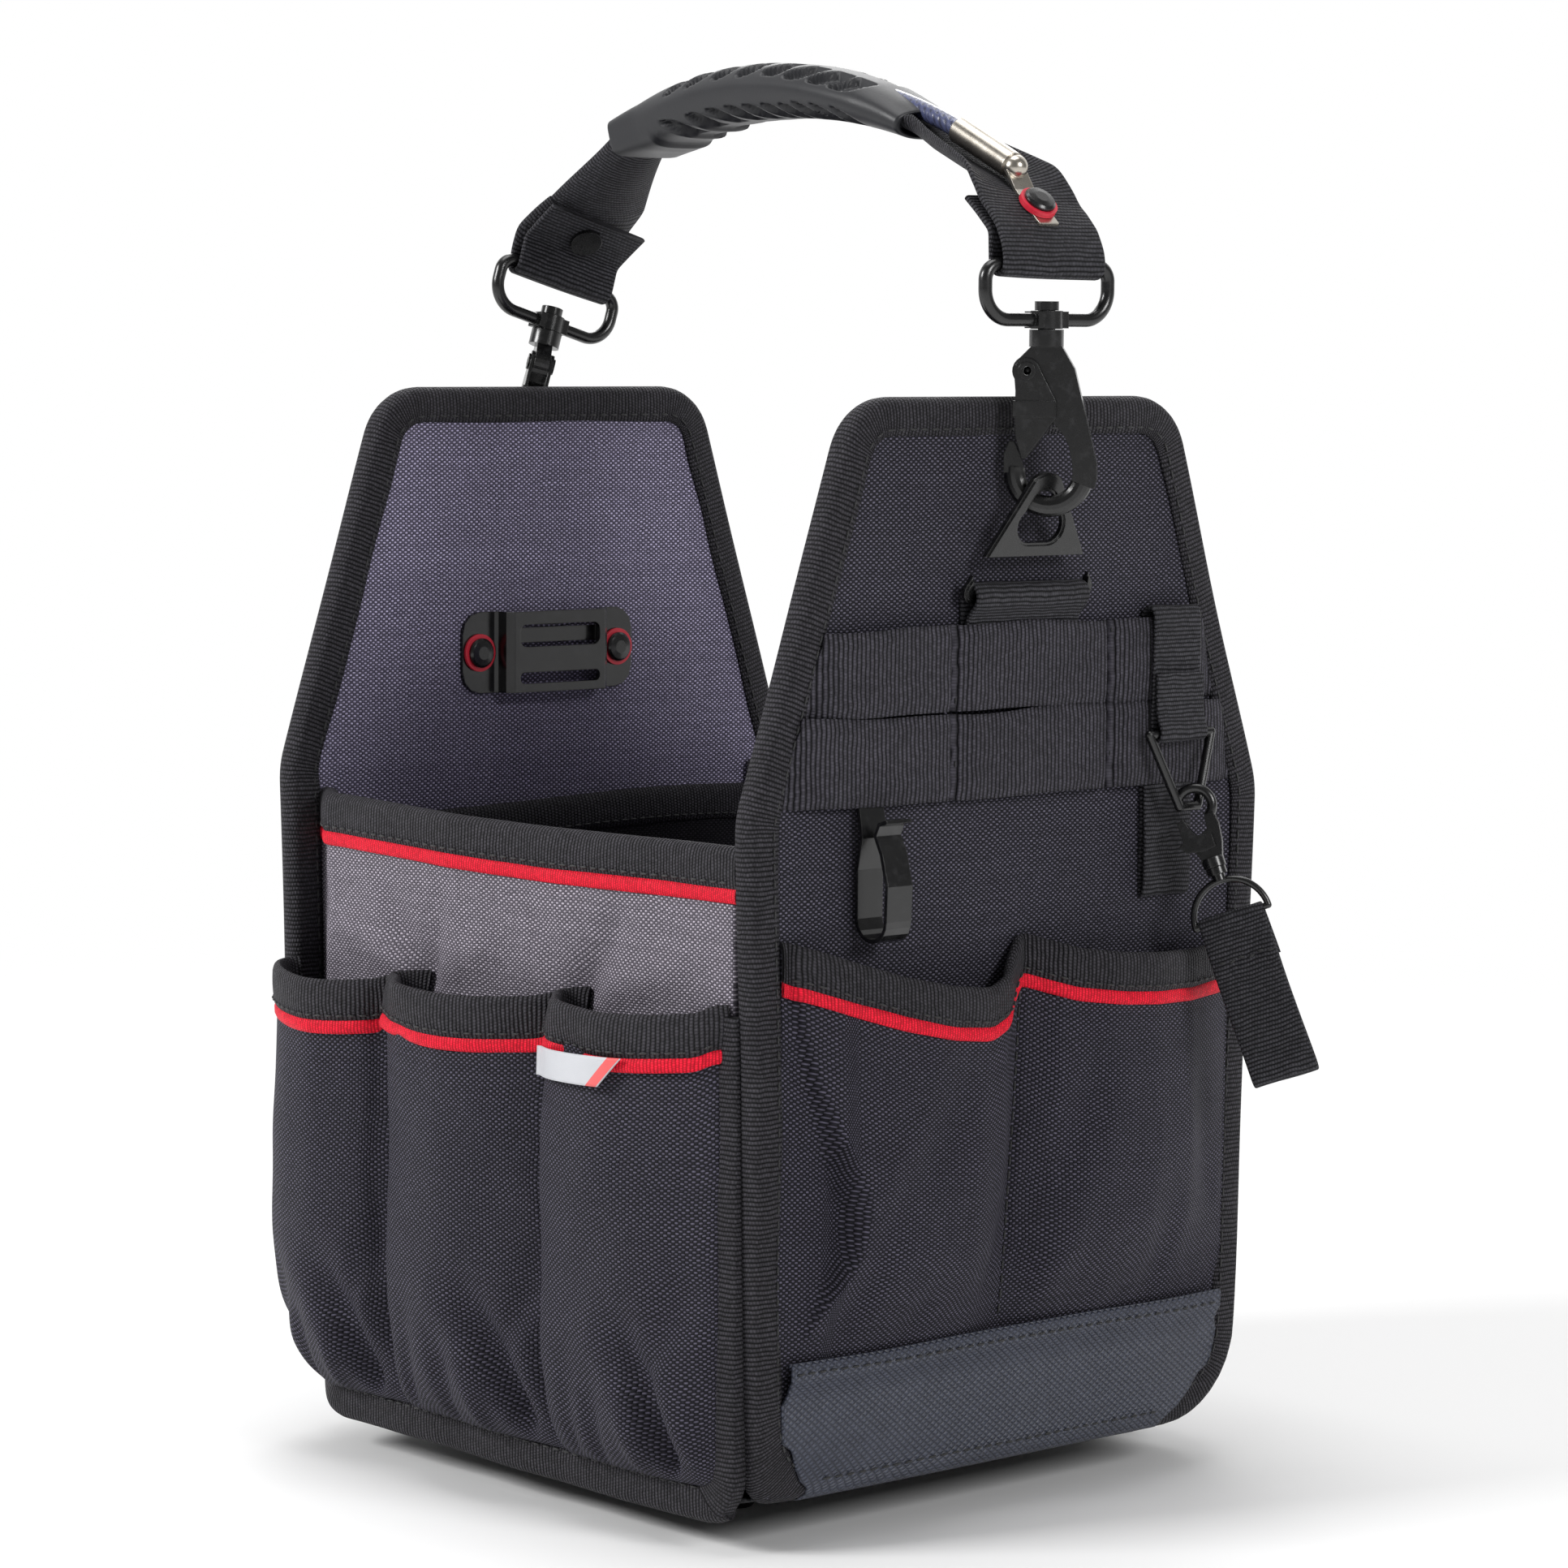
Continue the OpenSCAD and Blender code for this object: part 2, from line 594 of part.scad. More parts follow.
// strap centrelines, y and z: in the handle plane, and in the far ring's frame
near_path = concat(
  [[13.4, near_bar_z+18.8], [2.7, near_bar_z+9.2]],
  arc_points([0, near_bar_z], strap_bend_r, 10, -190, 14),
  [[-2.2, near_bar_z+4.6], [1, near_bar_z+10.5], [12, near_bar_z+20.3], [20, near_bar_z+23.6],
    [30, near_bar_z+27.2], [45, near_bar_z+33.4], [56.5, near_bar_z+39.1]]);
far_path = concat(
  [[-14.6, bar_h+17.6], [-2.9, bar_h+8.2]],
  arc_points([0, bar_h], strap_bend_r, 170, 370, 14),
  [[2.3, bar_h+4.6], [-0.8, bar_h+9.4], [-13.2, bar_h+19.5]]);

// a section swept about the arch's centre, angles from the top towards -Y
module arch_sweep(start, end) {
  translate([0, arch_centre[0], arch_centre[1]]) rotate([0, 90, 0]) rotate([0, 0, 180+start])
    rotate_extrude(angle=end-start, $fn=180) children();
}
module arch_strip(width, inner_r, outer_r, half_angle) {
  arch_sweep(-half_angle, half_angle)
    translate([inner_r, -width/2]) square([outer_r-inner_r, width]);
}
// rivet frames: z along the rivet's axis, upwards
module near_rivet_place() {
  translate([0, 6.5, near_bar_z+15.4]) rotate([41.7, 0, 0]) children();
}
module far_rivet_frame() {
  at_far(handle_yaw) translate([0, -8.0, bar_h+14.3]) rotate([-39.2, 0, 0]) children();
}
module rivet_hole() cylinder(h=30, r=1.9, center=true);

// plan that narrows the near strap towards the grip
module near_strap_plan() {
  translate([0, 0, 300]) linear_extrude(200) polygon([
    [-strap_half_w, -7], [strap_half_w, -7], [strap_half_w, 33], [10, 54],
    [10, 60], [-10, 60], [-10, 54], [-strap_half_w, 33]]);
}
// cross-section where the two lengths of the far strap's taper meet
module far_strap_joint() in_handle_plane() translate([-11, 203.5, 400.6]) cube([22, 1.2, 2.2]);

module handle_webbing() color(webbing_colour) {
  in_handle_plane() {
    difference() {
      intersection() {
        extrude_x(-strap_half_w, strap_half_w) polygon(ribbon(near_path, strap_t));
        near_strap_plan();
      }
      near_rivet_place() rivet_hole();
    }
    arch_strip(20, 221.3, 224.7, arch_angle+0.2);
  }
  difference() {
    at_far(handle_yaw)
      extrude_x(-strap_half_w, strap_half_w) polygon(ribbon(far_path, strap_t));
    far_rivet_frame() rivet_hole();
  }
  // far strap narrowing up to the grip
  hull() {
    at_far(handle_yaw)
      translate([-strap_half_w, -14.1, bar_h+18.6]) cube([2*strap_half_w, 1.2, 1.6]);
    far_strap_joint();
  }
  hull() {
    far_strap_joint();
    in_handle_plane() translate([-10, 196.9, 404.2]) cube([20, 1.2, 3.0]);
  }
}
module grip() color([0.10, 0.10, 0.11]) in_handle_plane() difference() {
  arch_sweep(-arch_angle, arch_angle)
    polygon(rounded_box([217.2, -13.5], [232.9, 13.5], [5, 6, 6, 5], 5));
  // slot for the webbing, bore for the cable
  arch_strip(20.5, 220.9, 225.1, arch_angle+1);
  arch_sweep(-arch_angle-1, arch_angle+1) translate([cable_arch_r, 0]) circle(r=2.95);
  // scoops along both sides
  for (a=[-15:3.75:15], s=[-1, 1])
    translate([0, arch_centre[0]+223*sin(a), arch_centre[1]+224.5*cos(a)])
      rotate([-a+20, 0, 0]) translate([s*15.4, 0, 0]) cylinder(h=40, r=2.6, center=true);
}
module handle_cable() color([0.12, 0.13, 0.32]) in_handle_plane()
  arch_sweep(-arch_angle+2, 24) translate([cable_arch_r, 0]) circle(r=2.8);

// round bar between two points of the handle plane
module plane_rod(from, to, r) {
  along = to-from;
  translate([0, from[0], from[1]])
    rotate([-90+atan2(along[1], along[0]), 0, 0]) cylinder(h=norm(along), r=r);
}
// barrel with a rounded lower end, a riveted tab and a socket for the cable
module ferrule() color([0.78, 0.75, 0.70]) in_handle_plane() difference() {
  union() {
    plane_rod(ferrule_low, ferrule_high, 4);
    translate([0, ferrule_low[0]-1.2, ferrule_low[1]-0.5]) sphere(r=3.7);
    difference() {
      extrude_x(-3.6, 3.6) polygon(ribbon([[-0.35, near_bar_z+11.55],
        [10.6, near_bar_z+21.4], [15.0, near_bar_z+27.8]], 1.2));
      near_rivet_place() rivet_hole();
    }
  }
  plane_rod(ferrule_high-7*[cos(ferrule_angle), sin(ferrule_angle)], ferrule_high+[2, 0.9], 3.0);
}
module handle_rivets() color(black) {
  in_handle_plane() near_rivet_place() {
    rivet_cap(4.1, 4.8, 1.8);
    translate([0, 0, -4.3]) cylinder(h=8.6, r=rivet_r);
    translate([0, 0, -4.5]) cylinder(h=1.4, r=5.2);
  }
  far_rivet_frame() {
    translate([0, 0, -3.9]) cylinder(h=7.0, r=rivet_r);
    translate([0, 0, 2.3]) cylinder(h=1.5, r=5.2);
    translate([0, 0, -4.1]) cylinder(h=1.4, r=5.2);
  }
}
module handle_washers() color(washer_colour) in_handle_plane() near_rivet_place()
  for (z=[2.4, 3.25]) translate([0, 0, z]) washer(5.8, 1.9, 0.8);

// ---------- bracket on the inside of the far panel ----------
bracket_t = 1.5;
bracket_low = [-35, 229.6];
bracket_high = [35, 255.6];

// drawn on the near panel, standing out towards +Y
module bracket() {
  flange_y = near_face+panel_t+gap+bracket_t/2;
  // right half of the centreline, x and y, from the middle out
  half_path = [[18.6, flange_y+6.3], [20.2, flange_y+5], [20.6, flange_y+1.4],
    [22.2, flange_y], [35, flange_y]];
  path = concat([for (i=[4:-1:0]) [-half_path[i][0], half_path[i][1]]], half_path);
  difference() {
    intersection() {
      translate([0, 0, bracket_low[1]]) linear_extrude(26) polygon(ribbon(path, bracket_t));
      extrude_y(near_face, near_face+20)
        polygon(rounded_box(bracket_low, bracket_high, [7, 7, 7, 7], 3));
    }
    // upper and lower slots
    extrude_y(near_face+8, near_face+20) {
      polygon(rounded_box([-16.5, 244.2], [16.5, 251.4], [2.5, 2.5, 2.5, 2.5], 5));
      polygon(rounded_box([-16.5, 232.4], [16.5, 236.0], [1.7, 1.7, 1.7, 1.7], 5));
    }
    bracket_holes();
  }
  // tongue behind the upper slot, and its two ends
  extrude_y(near_face+8.6, near_face+9.6)
    polygon([[-17.5, 245.4], [17.5, 245.4], [17.5, 250.2], [-17.5, 250.2]]);
  for (s=[-1, 1]) extrude_y(near_face+8.6, near_face+12.0)
    polygon([[s*17.3, 245.4], [s*18.7, 245.4], [s*18.7, 250.2], [s*17.5, 250.2]]);
}

module tool_bracket() color(black) far_side() bracket();
module bracket_rivets() color(black) far_side() bracket_rivet_places() {
  translate([0, 0, -1.3]) rotate_extrude()
    polygon([[0, 0], [4.0, 0], [4.7, 0.5], [4.7, 1.2], [2.0, 1.2], [2.0, 9.4], [0, 9.4]]);
  rivet_cap(7.85, 4.7, 1.7);
}
module bracket_washers() color(washer_colour) far_side() bracket_rivet_places()
  translate([0, 0, 6.9]) washer(6, 2.1, 0.9);

// ---------- key chain ----------
key_apex = [61.6, -122.6, 205.4];   // middle of the key ring's bottom wire
key_wire_r = 1.4;
d_ring_r = 11.4;
d_ring_z = -40.6;                   // straight wire, in the key hook's frame

module wire(from, to) {
  along = to-from;
  translate(from) rotate([0, acos(along[2]/norm(along)), atan2(along[1], along[0])])
    cylinder(h=norm(along), r=key_wire_r);
}
module at_key() {
  translate(key_apex+[0, 0, 5.5])
    rotate([0, 0, -50]) rotate([0, -20, 0]) rotate([-7, 0, 0]) children();
}
module key_pivot(h, r) translate([0.6, 0, -17.4]) rotate([90, 0, 0]) cylinder(h=h, r=r, center=true);

// four-sided wire ring, wide at the top, hung from the strap's front loop
module key_ring() color(metal_colour) {
  top_left = [48.4, key_bar[0], key_bar[1]];
  top_right = [74.8, key_bar[0], key_bar[1]];
  low_left = key_apex-[3.9, 0, 0];
  low_right = key_apex+[3.9, 0, 0];
  for (ends=[[top_left, top_right], [top_left, low_left], [low_left, low_right],
      [low_right, top_right]])
    wire(ends[0], ends[1]);
  for (joint=[top_left, top_right, low_left, low_right]) translate(joint) sphere(r=key_wire_r);
}
module key_hook() color(metal_colour) at_key() difference() {
  union() {
    translate([0, 0, -5.6]) rotate([90, 0, 0]) rotate([0, 0, -60])
      rotate_extrude(angle=205) translate([5.2, 0]) circle(r=1.5);
    extrude_y(-2, 2) polygon([[1.9, -9.2], [4.9, -9.0], [5.3, -12.5], [4.6, -18], [3.2, -22.4],
      [-3.2, -22.4], [-4.2, -18], [-2.4, -15.2], [1.4, -13.4]]);
    translate([0, 0, -25]) cylinder(h=3, r=3.4);
  }
  key_pivot(10, 1.05);
}
// two cheeks, the web joining them and the pivot pin
module key_trigger() color(metal_colour) at_key() {
  for (s=[-1, 1]) translate([0, s*2.75, 0]) extrude_y(-0.6, 0.6) polygon([
    [2.4, -15.4], [2.4, -19.2], [-1.2, -19.6], [-6.4, -18.6], [-8.2, -16.2], [-6.6, -15.4],
    [-6.3, -9.4], [-4.4, -8.4], [-3.6, -11.6], [-2.2, -14.2]]);
  extrude_y(-3.3, 3.3) polygon([[-8.2, -16.2], [-6.6, -15.4], [-6.3, -9.4], [-5.2, -9.6],
    [-5.4, -15.9], [-6.4, -18.6]]);
  key_pivot(6.6, 1.0);
}
// swivel stud and the half-round wire ring below it
module key_d_ring() color(plate_colour) at_key() {
  translate([0, 0, -27.3]) cylinder(h=2.2, r=3.0);
  translate([0, 0, -29.2]) cylinder(h=2.4, r=2.0);
  translate([0, 0, d_ring_z]) rotate([90, 0, 0])
    rotate_extrude(angle=180) translate([d_ring_r, 0]) circle(r=1.0);
  translate([-d_ring_r, 0, d_ring_z]) rotate([0, 90, 0]) cylinder(h=2*d_ring_r, r=1.0);
  for (s=[-1, 1]) translate([s*d_ring_r, 0, d_ring_z]) sphere(r=1.0);
}
// webbing tail looped over the straight wire
module key_loop() color(webbing_colour) at_key() extrude_x(-10, 10) polygon(ribbon(concat(
  [[1.9, -55], [1.7, -43]],
  arc_points([0, d_ring_z], 1.75, -30, 210, 12),
  [[-1.9, -46], [-2.2, -56], [-3.6, -70], [-3.8, -86]],
  arc_points([-0.8, -88], 3.0, 180, 350, 8),
  [[2.4, -84], [1.9, -70], [0.6, -58], [0.1, -47.5]]), 1.1));

near_panel_fabric();
far_panel_fabric();
panel_boards();
near_panel_lining();
far_panel_lining();
near_panel_binding();
far_panel_binding();
left_wall();
right_wall();
left_wall_binding();
right_wall_binding();
wall_piping();
base_fabric();
base_board();
feet();
foot_screws();
left_sleeves();
right_sleeves();
left_sleeve_binding();
right_sleeve_binding();
sleeve_piping();
near_pocket();
far_pocket();
near_pocket_binding();
far_pocket_binding();
end_pocket_piping();
inner_pocket();
inner_pocket_binding();
base_bands();
loop_webbing();
near_eye_strap();
far_eye_strap();
tool_bracket();
bracket_rivets();
bracket_washers();
key_strap();
label_tag();
hanging_clip();
near_eye_plate();
far_eye_plate();
grip();
handle_webbing();
handle_cable();
ferrule();
handle_rivets();
handle_washers();
near_swivel_ring();
far_swivel_ring();
near_hook();
far_hook();
near_gate();
far_gate();
near_gate_pin();
far_gate_pin();
key_ring();
key_hook();
key_trigger();
key_d_ring();
key_loop();
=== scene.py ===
"""An open-topped cloth tool bag with a carrying handle.

X runs from the left wall (-X) to the right wall (+X), Y from the near end panel (-Y) to the
far one (+Y), and Z up from the floor. Each end panel carries a pocket and an eye strap, and
each wall three tool sleeves. The handle hangs between two snap hooks. Lengths of the bag are
in mm and become metres in make(); materials, lights and camera are in metres.
"""
import bpy
import json
import math
import numpy as np
from mathutils import Vector, Matrix


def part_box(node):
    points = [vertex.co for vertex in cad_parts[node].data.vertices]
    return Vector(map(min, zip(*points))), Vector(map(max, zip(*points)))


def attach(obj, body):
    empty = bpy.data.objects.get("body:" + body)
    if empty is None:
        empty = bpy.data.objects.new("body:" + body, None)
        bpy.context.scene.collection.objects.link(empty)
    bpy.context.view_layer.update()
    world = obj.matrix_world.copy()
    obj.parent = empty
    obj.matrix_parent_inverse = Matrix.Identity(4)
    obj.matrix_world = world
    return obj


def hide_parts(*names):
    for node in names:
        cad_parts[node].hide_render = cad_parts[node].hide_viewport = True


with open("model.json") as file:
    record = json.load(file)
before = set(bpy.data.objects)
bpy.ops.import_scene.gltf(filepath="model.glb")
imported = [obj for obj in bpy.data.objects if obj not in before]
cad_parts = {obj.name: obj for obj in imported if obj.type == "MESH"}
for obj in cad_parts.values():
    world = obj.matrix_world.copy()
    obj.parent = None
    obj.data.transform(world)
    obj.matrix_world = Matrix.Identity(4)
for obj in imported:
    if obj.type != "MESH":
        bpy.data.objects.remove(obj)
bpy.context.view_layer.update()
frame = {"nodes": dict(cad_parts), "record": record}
JOINTS = {joint["name"]: joint for joint in frame["record"]["behaviour"]["joints"]}
MM = 0.001
UP = np.array([0, 0, 1.0])


# ------------------------------------------------------------------ reading the CAD
def node_box(node):
    """low and high corner of a CAD piece, in mm"""
    low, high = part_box(node)
    return np.array(low) * 1000, np.array(high) * 1000


def joint_pos(name):
    return np.array(JOINTS[name]["pos_m"]) * 1000


def joint_axis(name):
    return np.array(JOINTS[name]["axis"], float)


def hull(node):
    """convex outline of a CAD piece in X and Z, counter-clockwise"""
    verts = np.array([v.co for v in frame["nodes"][node].data.vertices]) * 1000
    points = sorted(set((round(float(x), 2), round(float(z), 2)) for x, z in verts[:, [0, 2]]))

    def half(run):
        chain = []
        for p in run:
            while len(chain) > 1:
                a, b = chain[-2:]
                if (b[0] - a[0]) * (p[1] - a[1]) - (b[1] - a[1]) * (p[0] - a[0]) > 0:
                    break
                chain.pop()
            chain.append(p)
        return chain[:-1]

    return np.array(half(points) + half(points[::-1]))


PANEL_FOOT, PANEL_TOP = (corner[2] for corner in node_box("near_panel_binding"))
PANEL_OUT = -node_box("near_panel_fabric")[0][1]   # outer face of the end panels, in |Y|
PANEL_IN = -node_box("near_panel_lining")[1][1]    # inner face
WALL_X = -node_box("left_wall")[0][0]
WALL_LOW, WALL_HIGH = node_box("left_wall_binding")
WALL_FOOT, WALL_TOP = WALL_LOW[2], WALL_HIGH[2]
WALL_END = WALL_HIGH[1]
SLEEVE_RIM = node_box("left_sleeve_binding")[1][2]
SLEEVE_DEPTH = -WALL_X - node_box("left_sleeves")[0][0]
POCKET_RIM = node_box("near_pocket_binding")[1][2]
POCKET_DEPTH = -PANEL_OUT - node_box("near_pocket")[0][1]
BAND_TOP = node_box("base_bands")[1][2]
OUTLINE = hull("near_panel_binding")
RIGHT_EDGE = OUTLINE[OUTLINE[:, 0] > 0]
RIGHT_EDGE = RIGHT_EDGE[np.argsort(RIGHT_EDGE[:, 1])]
END_SIGN = {"near": -1, "far": 1}


def half_width(z):
    """half width of an end panel's outline at height z"""
    z = np.clip(np.asarray(z, float), PANEL_FOOT + 0.01, PANEL_TOP - 0.01)
    return np.interp(z, RIGHT_EDGE[:, 1], RIGHT_EDGE[:, 0])


# ------------------------------------------------------------------ curves and waves
def ease(x, start, end):
    """0 before start, 1 after end, smooth between them"""
    t = np.clip((np.asarray(x, float) - start) / (end - start), 0, 1)
    return t * t * (3 - 2 * t)


def between(x, rise, rise_end, fall, fall_end):
    return ease(x, rise, rise_end) * (1 - ease(x, fall, fall_end))


def bell(x, centre, width):
    return np.exp(-((np.asarray(x, float) - centre) / width) ** 2)


def wander(points, seed, wavelength, amount):
    """smooth irregular value at each point: seven plane waves in random directions"""
    random = np.random.RandomState(seed)
    total = 0
    for _ in range(7):
        direction = random.normal(size=3)
        direction /= np.linalg.norm(direction)
        rate = 2 * math.pi / (wavelength * random.uniform(0.7, 1.6))
        wave = np.sin((points @ direction) * rate + random.uniform(0, 6.28))
        total = total + wave * random.uniform(0.6, 1.0)
    return total * amount / 2.6


def crease(x, z, line, width, lead, fade, spread=False):
    """1 along a crease, falling to 0 around it.

    line: start x and z, end x and z; lead: distances over which it begins;
    fade: shares of its length over which it ends; spread: it widens along the way
    """
    x0, z0, x1, z1 = line
    length = math.hypot(x1 - x0, z1 - z0)
    dx, dz = (x1 - x0) / length, (z1 - z0) / length
    along = (x - x0) * dx + (z - z0) * dz
    aside = -(x - x0) * dz + (z - z0) * dx
    if spread:
        width = width * (0.55 + 0.9 * np.clip(along / length, 0, 1.3))
    return np.exp(-(aside / width) ** 2) * between(along, *lead, length * fade[0], length * fade[1])


def unit(v):
    return v / np.maximum(np.linalg.norm(v, axis=-1, keepdims=True), 1e-9)


def tangents(path):
    return unit(np.gradient(path, axis=0))


def lengths(points):
    """distance along the path at each point"""
    return np.r_[0, np.cumsum(np.linalg.norm(np.diff(points, axis=0), axis=1))]


def at_lengths(where, known, points):
    return np.stack([np.interp(where, known, column) for column in points.T], 1)


def resample(points, count, closed=False):
    points = np.array(points, float)
    if closed:
        points = np.vstack([points, points[:1]])
    known = lengths(points)
    where = np.linspace(0, known[-1], count + 1)[:-1] if closed else np.linspace(0, known[-1], count)
    return at_lengths(where, known, points)


def catmull(points, count):
    """smooth open curve through points, resampled evenly"""
    p = np.array(points, float)
    p = np.vstack([2 * p[0] - p[1], p, 2 * p[-1] - p[-2]])
    curve = []
    for a, b, c, d in zip(p, p[1:], p[2:], p[3:]):
        for t in np.linspace(0, 1, 24, endpoint=False):
            curve.append(0.5 * ((2 * b) + (c - a) * t + (2 * a - 5 * b + 4 * c - d) * t * t
                                + (3 * b - 3 * c + d - a) * t ** 3))
    curve.append(p[-2])
    return resample(np.array(curve), count)


def fair(points, passes=2):
    """smooths a row of points, ends fixed"""
    for _ in range(passes):
        smoothed = points.copy()
        smoothed[1:-1] = (points[:-2] + 2 * points[1:-1] + points[2:]) / 4
        points = smoothed
    return points


def arc(centre, radius, start, end, count=14):
    """points on an arc, angles in degrees"""
    return [(centre[0] + radius * math.cos(a), centre[1] + radius * math.sin(a))
            for a in np.radians(np.linspace(start, end, count))]


# ------------------------------------------------------------------ meshes
# A part is (vertices, faces, one UV per face corner). UVs are in mm on cloth.
SQUARED = {"near_outer_cloth", "near_lining_cloth", "near_panel_binding_tape",
           "near_panel_binding_stitch", "near_coated_band", "near_band_stitch",
           "panel_boards_bowed"}
CORNER_TOP = 44.0   # height below which the corner is drawn out
CORNER_R = 9.0      # radius it keeps


def squared(verts):
    """draws the near panel's rounded left foot out to a tight corner"""
    verts = np.array(verts, float)
    x, y, z = verts.T
    inside = (x < 0) & (z < CORNER_TOP) & (y < 0)
    width = half_width(np.clip(z, PANEL_FOOT + 0.4, None))
    rise = np.clip(z - PANEL_FOOT, 0, CORNER_R)
    rounding = CORNER_R - np.sqrt(np.maximum(CORNER_R ** 2 - (CORNER_R - rise) ** 2, 0))
    taper = 2.0 * np.clip((CORNER_TOP - z) / 38.0, 0, 1)
    drawn = half_width(CORNER_TOP) - taper - rounding
    factor = np.where(inside, np.maximum(drawn / width, 1.0), 1.0)
    verts[:, 0] = x * (1 + (factor - 1) * ease(-x / width, 0.0, 0.5))
    return verts


def make(name, part, material, replaced=(), body="bag"):
    verts, faces, uvs = part
    if name in SQUARED:
        verts = squared(verts)
    mesh = bpy.data.meshes.new(name)
    mesh.from_pydata([tuple(v) for v in verts * MM], [], [tuple(face) for face in faces])
    layer = mesh.uv_layers.new(name="UVMap")
    layer.data.foreach_set("uv", np.asarray(uvs, np.float32).ravel())
    mesh.polygons.foreach_set("use_smooth", [True] * len(mesh.polygons))
    mesh.update()
    obj = bpy.data.objects.new(name, mesh)
    bpy.context.scene.collection.objects.link(obj)
    mesh.materials.append(material)
    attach(obj, body)
    if replaced:
        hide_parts(*replaced)


def join(parts):
    verts, faces, uvs, offset = [], [], [], 0
    for part_verts, part_faces, part_uvs in parts:
        verts.append(part_verts)
        uvs.append(part_uvs)
        faces += [tuple(int(corner) + offset for corner in face) for face in part_faces]
        offset += len(part_verts)
    return np.vstack(verts), faces, np.vstack(uvs)


def face_outward(verts, faces, uvs):
    """turns a closed part right side out, judged by its signed volume"""
    volume = 0.0
    for face in faces:
        for b, c in zip(face[1:-1], face[2:]):
            volume += np.dot(verts[face[0]], np.cross(verts[b], verts[c]))
    if volume >= 0:
        return verts, faces, uvs
    turned, corner = [], 0
    for face in faces:
        turned.append(uvs[corner:corner + len(face)][::-1])
        corner += len(face)
    return verts, [face[::-1] for face in faces], np.vstack(turned)


def normals_facing(grid, facing):
    """unit normals of a grid on the side of facing, and whether they had to be turned"""
    normals = unit(np.cross(np.gradient(grid, axis=0), np.gradient(grid, axis=1)))
    turned = np.mean(np.sum(normals * np.array(facing), -1)) < 0
    return (-normals if turned else normals), turned


def slab(grid, thick, facing, uv=None):
    """closed sheet: one face on the grid, the other thick behind it, away from facing"""
    nu, nv = grid.shape[:2]
    normals, turned = normals_facing(grid, facing)
    if uv is None:
        uv = np.stack(np.meshgrid(lengths(grid[:, nv // 2]), lengths(grid[nu // 2]),
                                  indexing="ij"), -1)
    verts = np.vstack([grid.reshape(-1, 3), (grid - normals * thick).reshape(-1, 3)])
    uvs = np.vstack([uv.reshape(-1, 2)] * 2)
    i, j = np.meshgrid(np.arange(nu - 1), np.arange(nv - 1), indexing="ij")
    a, b = (i * nv + j).ravel(), ((i + 1) * nv + j).ravel()
    back = nu * nv

    def rim(row):
        return np.stack([row[1:], row[:-1], row[:-1] + back, row[1:] + back], 1)

    first_column, first_row = np.arange(nu) * nv, np.arange(nv)
    faces = np.vstack([np.stack([a, b, b + 1, a + 1], 1),
                       np.stack([a + 1, b + 1, b, a], 1) + back,
                       rim(first_column), rim((first_column + nv - 1)[::-1]),
                       rim(first_row[::-1]), rim(first_row + (nu - 1) * nv)])
    if turned:
        faces = faces[:, ::-1]
    return verts, faces, uvs[faces.ravel()]


def sweep(path, first_dir, second_dir, section):
    """carries a closed section, one for all or one per point, along an open path"""
    path = np.asarray(path, float)
    count = len(path)
    first_dir = np.broadcast_to(first_dir, path.shape)
    second_dir = np.broadcast_to(second_dir, path.shape)
    section = np.asarray(section, float)
    if section.ndim == 2:
        section = np.repeat(section[None], count, 0)
    m = section.shape[1]
    verts = (path[:, None] + first_dir[:, None] * section[..., :1]
             + second_dir[:, None] * section[..., 1:])
    s = lengths(path)
    mean = section.mean(0)
    t = lengths(np.r_[mean, mean[:1]])
    i, j = (k.ravel() for k in np.meshgrid(np.arange(count - 1), np.arange(m), indexing="ij"))
    j2 = (j + 1) % m
    faces = np.stack([i * m + j, (i + 1) * m + j, (i + 1) * m + j2, i * m + j2], 1)
    corners = ((i, j), (i + 1, j), (i + 1, j + 1), (i, j + 1))
    uvs = np.stack([np.stack([s[a], t[b]], 1) for a, b in corners], 1).reshape(-1, 2)
    faces = [tuple(face) for face in faces]
    faces += [tuple(range(m))[::-1], tuple((count - 1) * m + k for k in range(m))]
    uvs = np.vstack([uvs, np.stack([np.full(m, s[0]), t[:m]], 1)[::-1],
                     np.stack([np.full(m, s[-1]), t[:m]], 1)])
    return face_outward(verts.reshape(-1, 3), faces, uvs)


def flat_section(width, thick, columns, crown):
    """webbing: rounded edges, a little fuller in the middle"""
    half, edge = width / 2, thick / 2
    x = np.linspace(-half + edge, half - edge, columns)
    z = edge + crown * (1 - (2 * x / width) ** 2)
    turn = np.radians([45, 90, 135])
    end_x, end_z = half - edge + edge * np.sin(turn), edge * np.cos(turn)
    return np.vstack([np.stack([x, z], 1), np.stack([end_x, end_z], 1),
                      np.stack([x[::-1], -z[::-1]], 1), np.stack([-end_x, -end_z], 1)])


def tape_section(width, half, thick, puff):
    """tape folded round an edge: first column in from the edge, second through the sheet"""
    depth = np.linspace(width, 2.2, 6)
    face = half + puff * np.sin(np.pi * (width - depth) / (width - 1)) ** 0.7
    front = np.stack([depth, face - 0.25 * (depth > width - 0.1)], 1)
    turn = np.radians(np.linspace(70, -70, 7))
    nose = np.stack([2.0 - 2.3 * np.cos(turn), half * np.sin(turn) * 1.02], 1)
    gap = half - thick
    inner = [[width, -gap], [3.2, -gap], [2.2, -gap * 0.6], [2.0, 0],
             [2.2, gap * 0.6], [3.2, gap], [width, gap]]
    return np.vstack([front, nose, front[::-1] * [1, -1], inner])


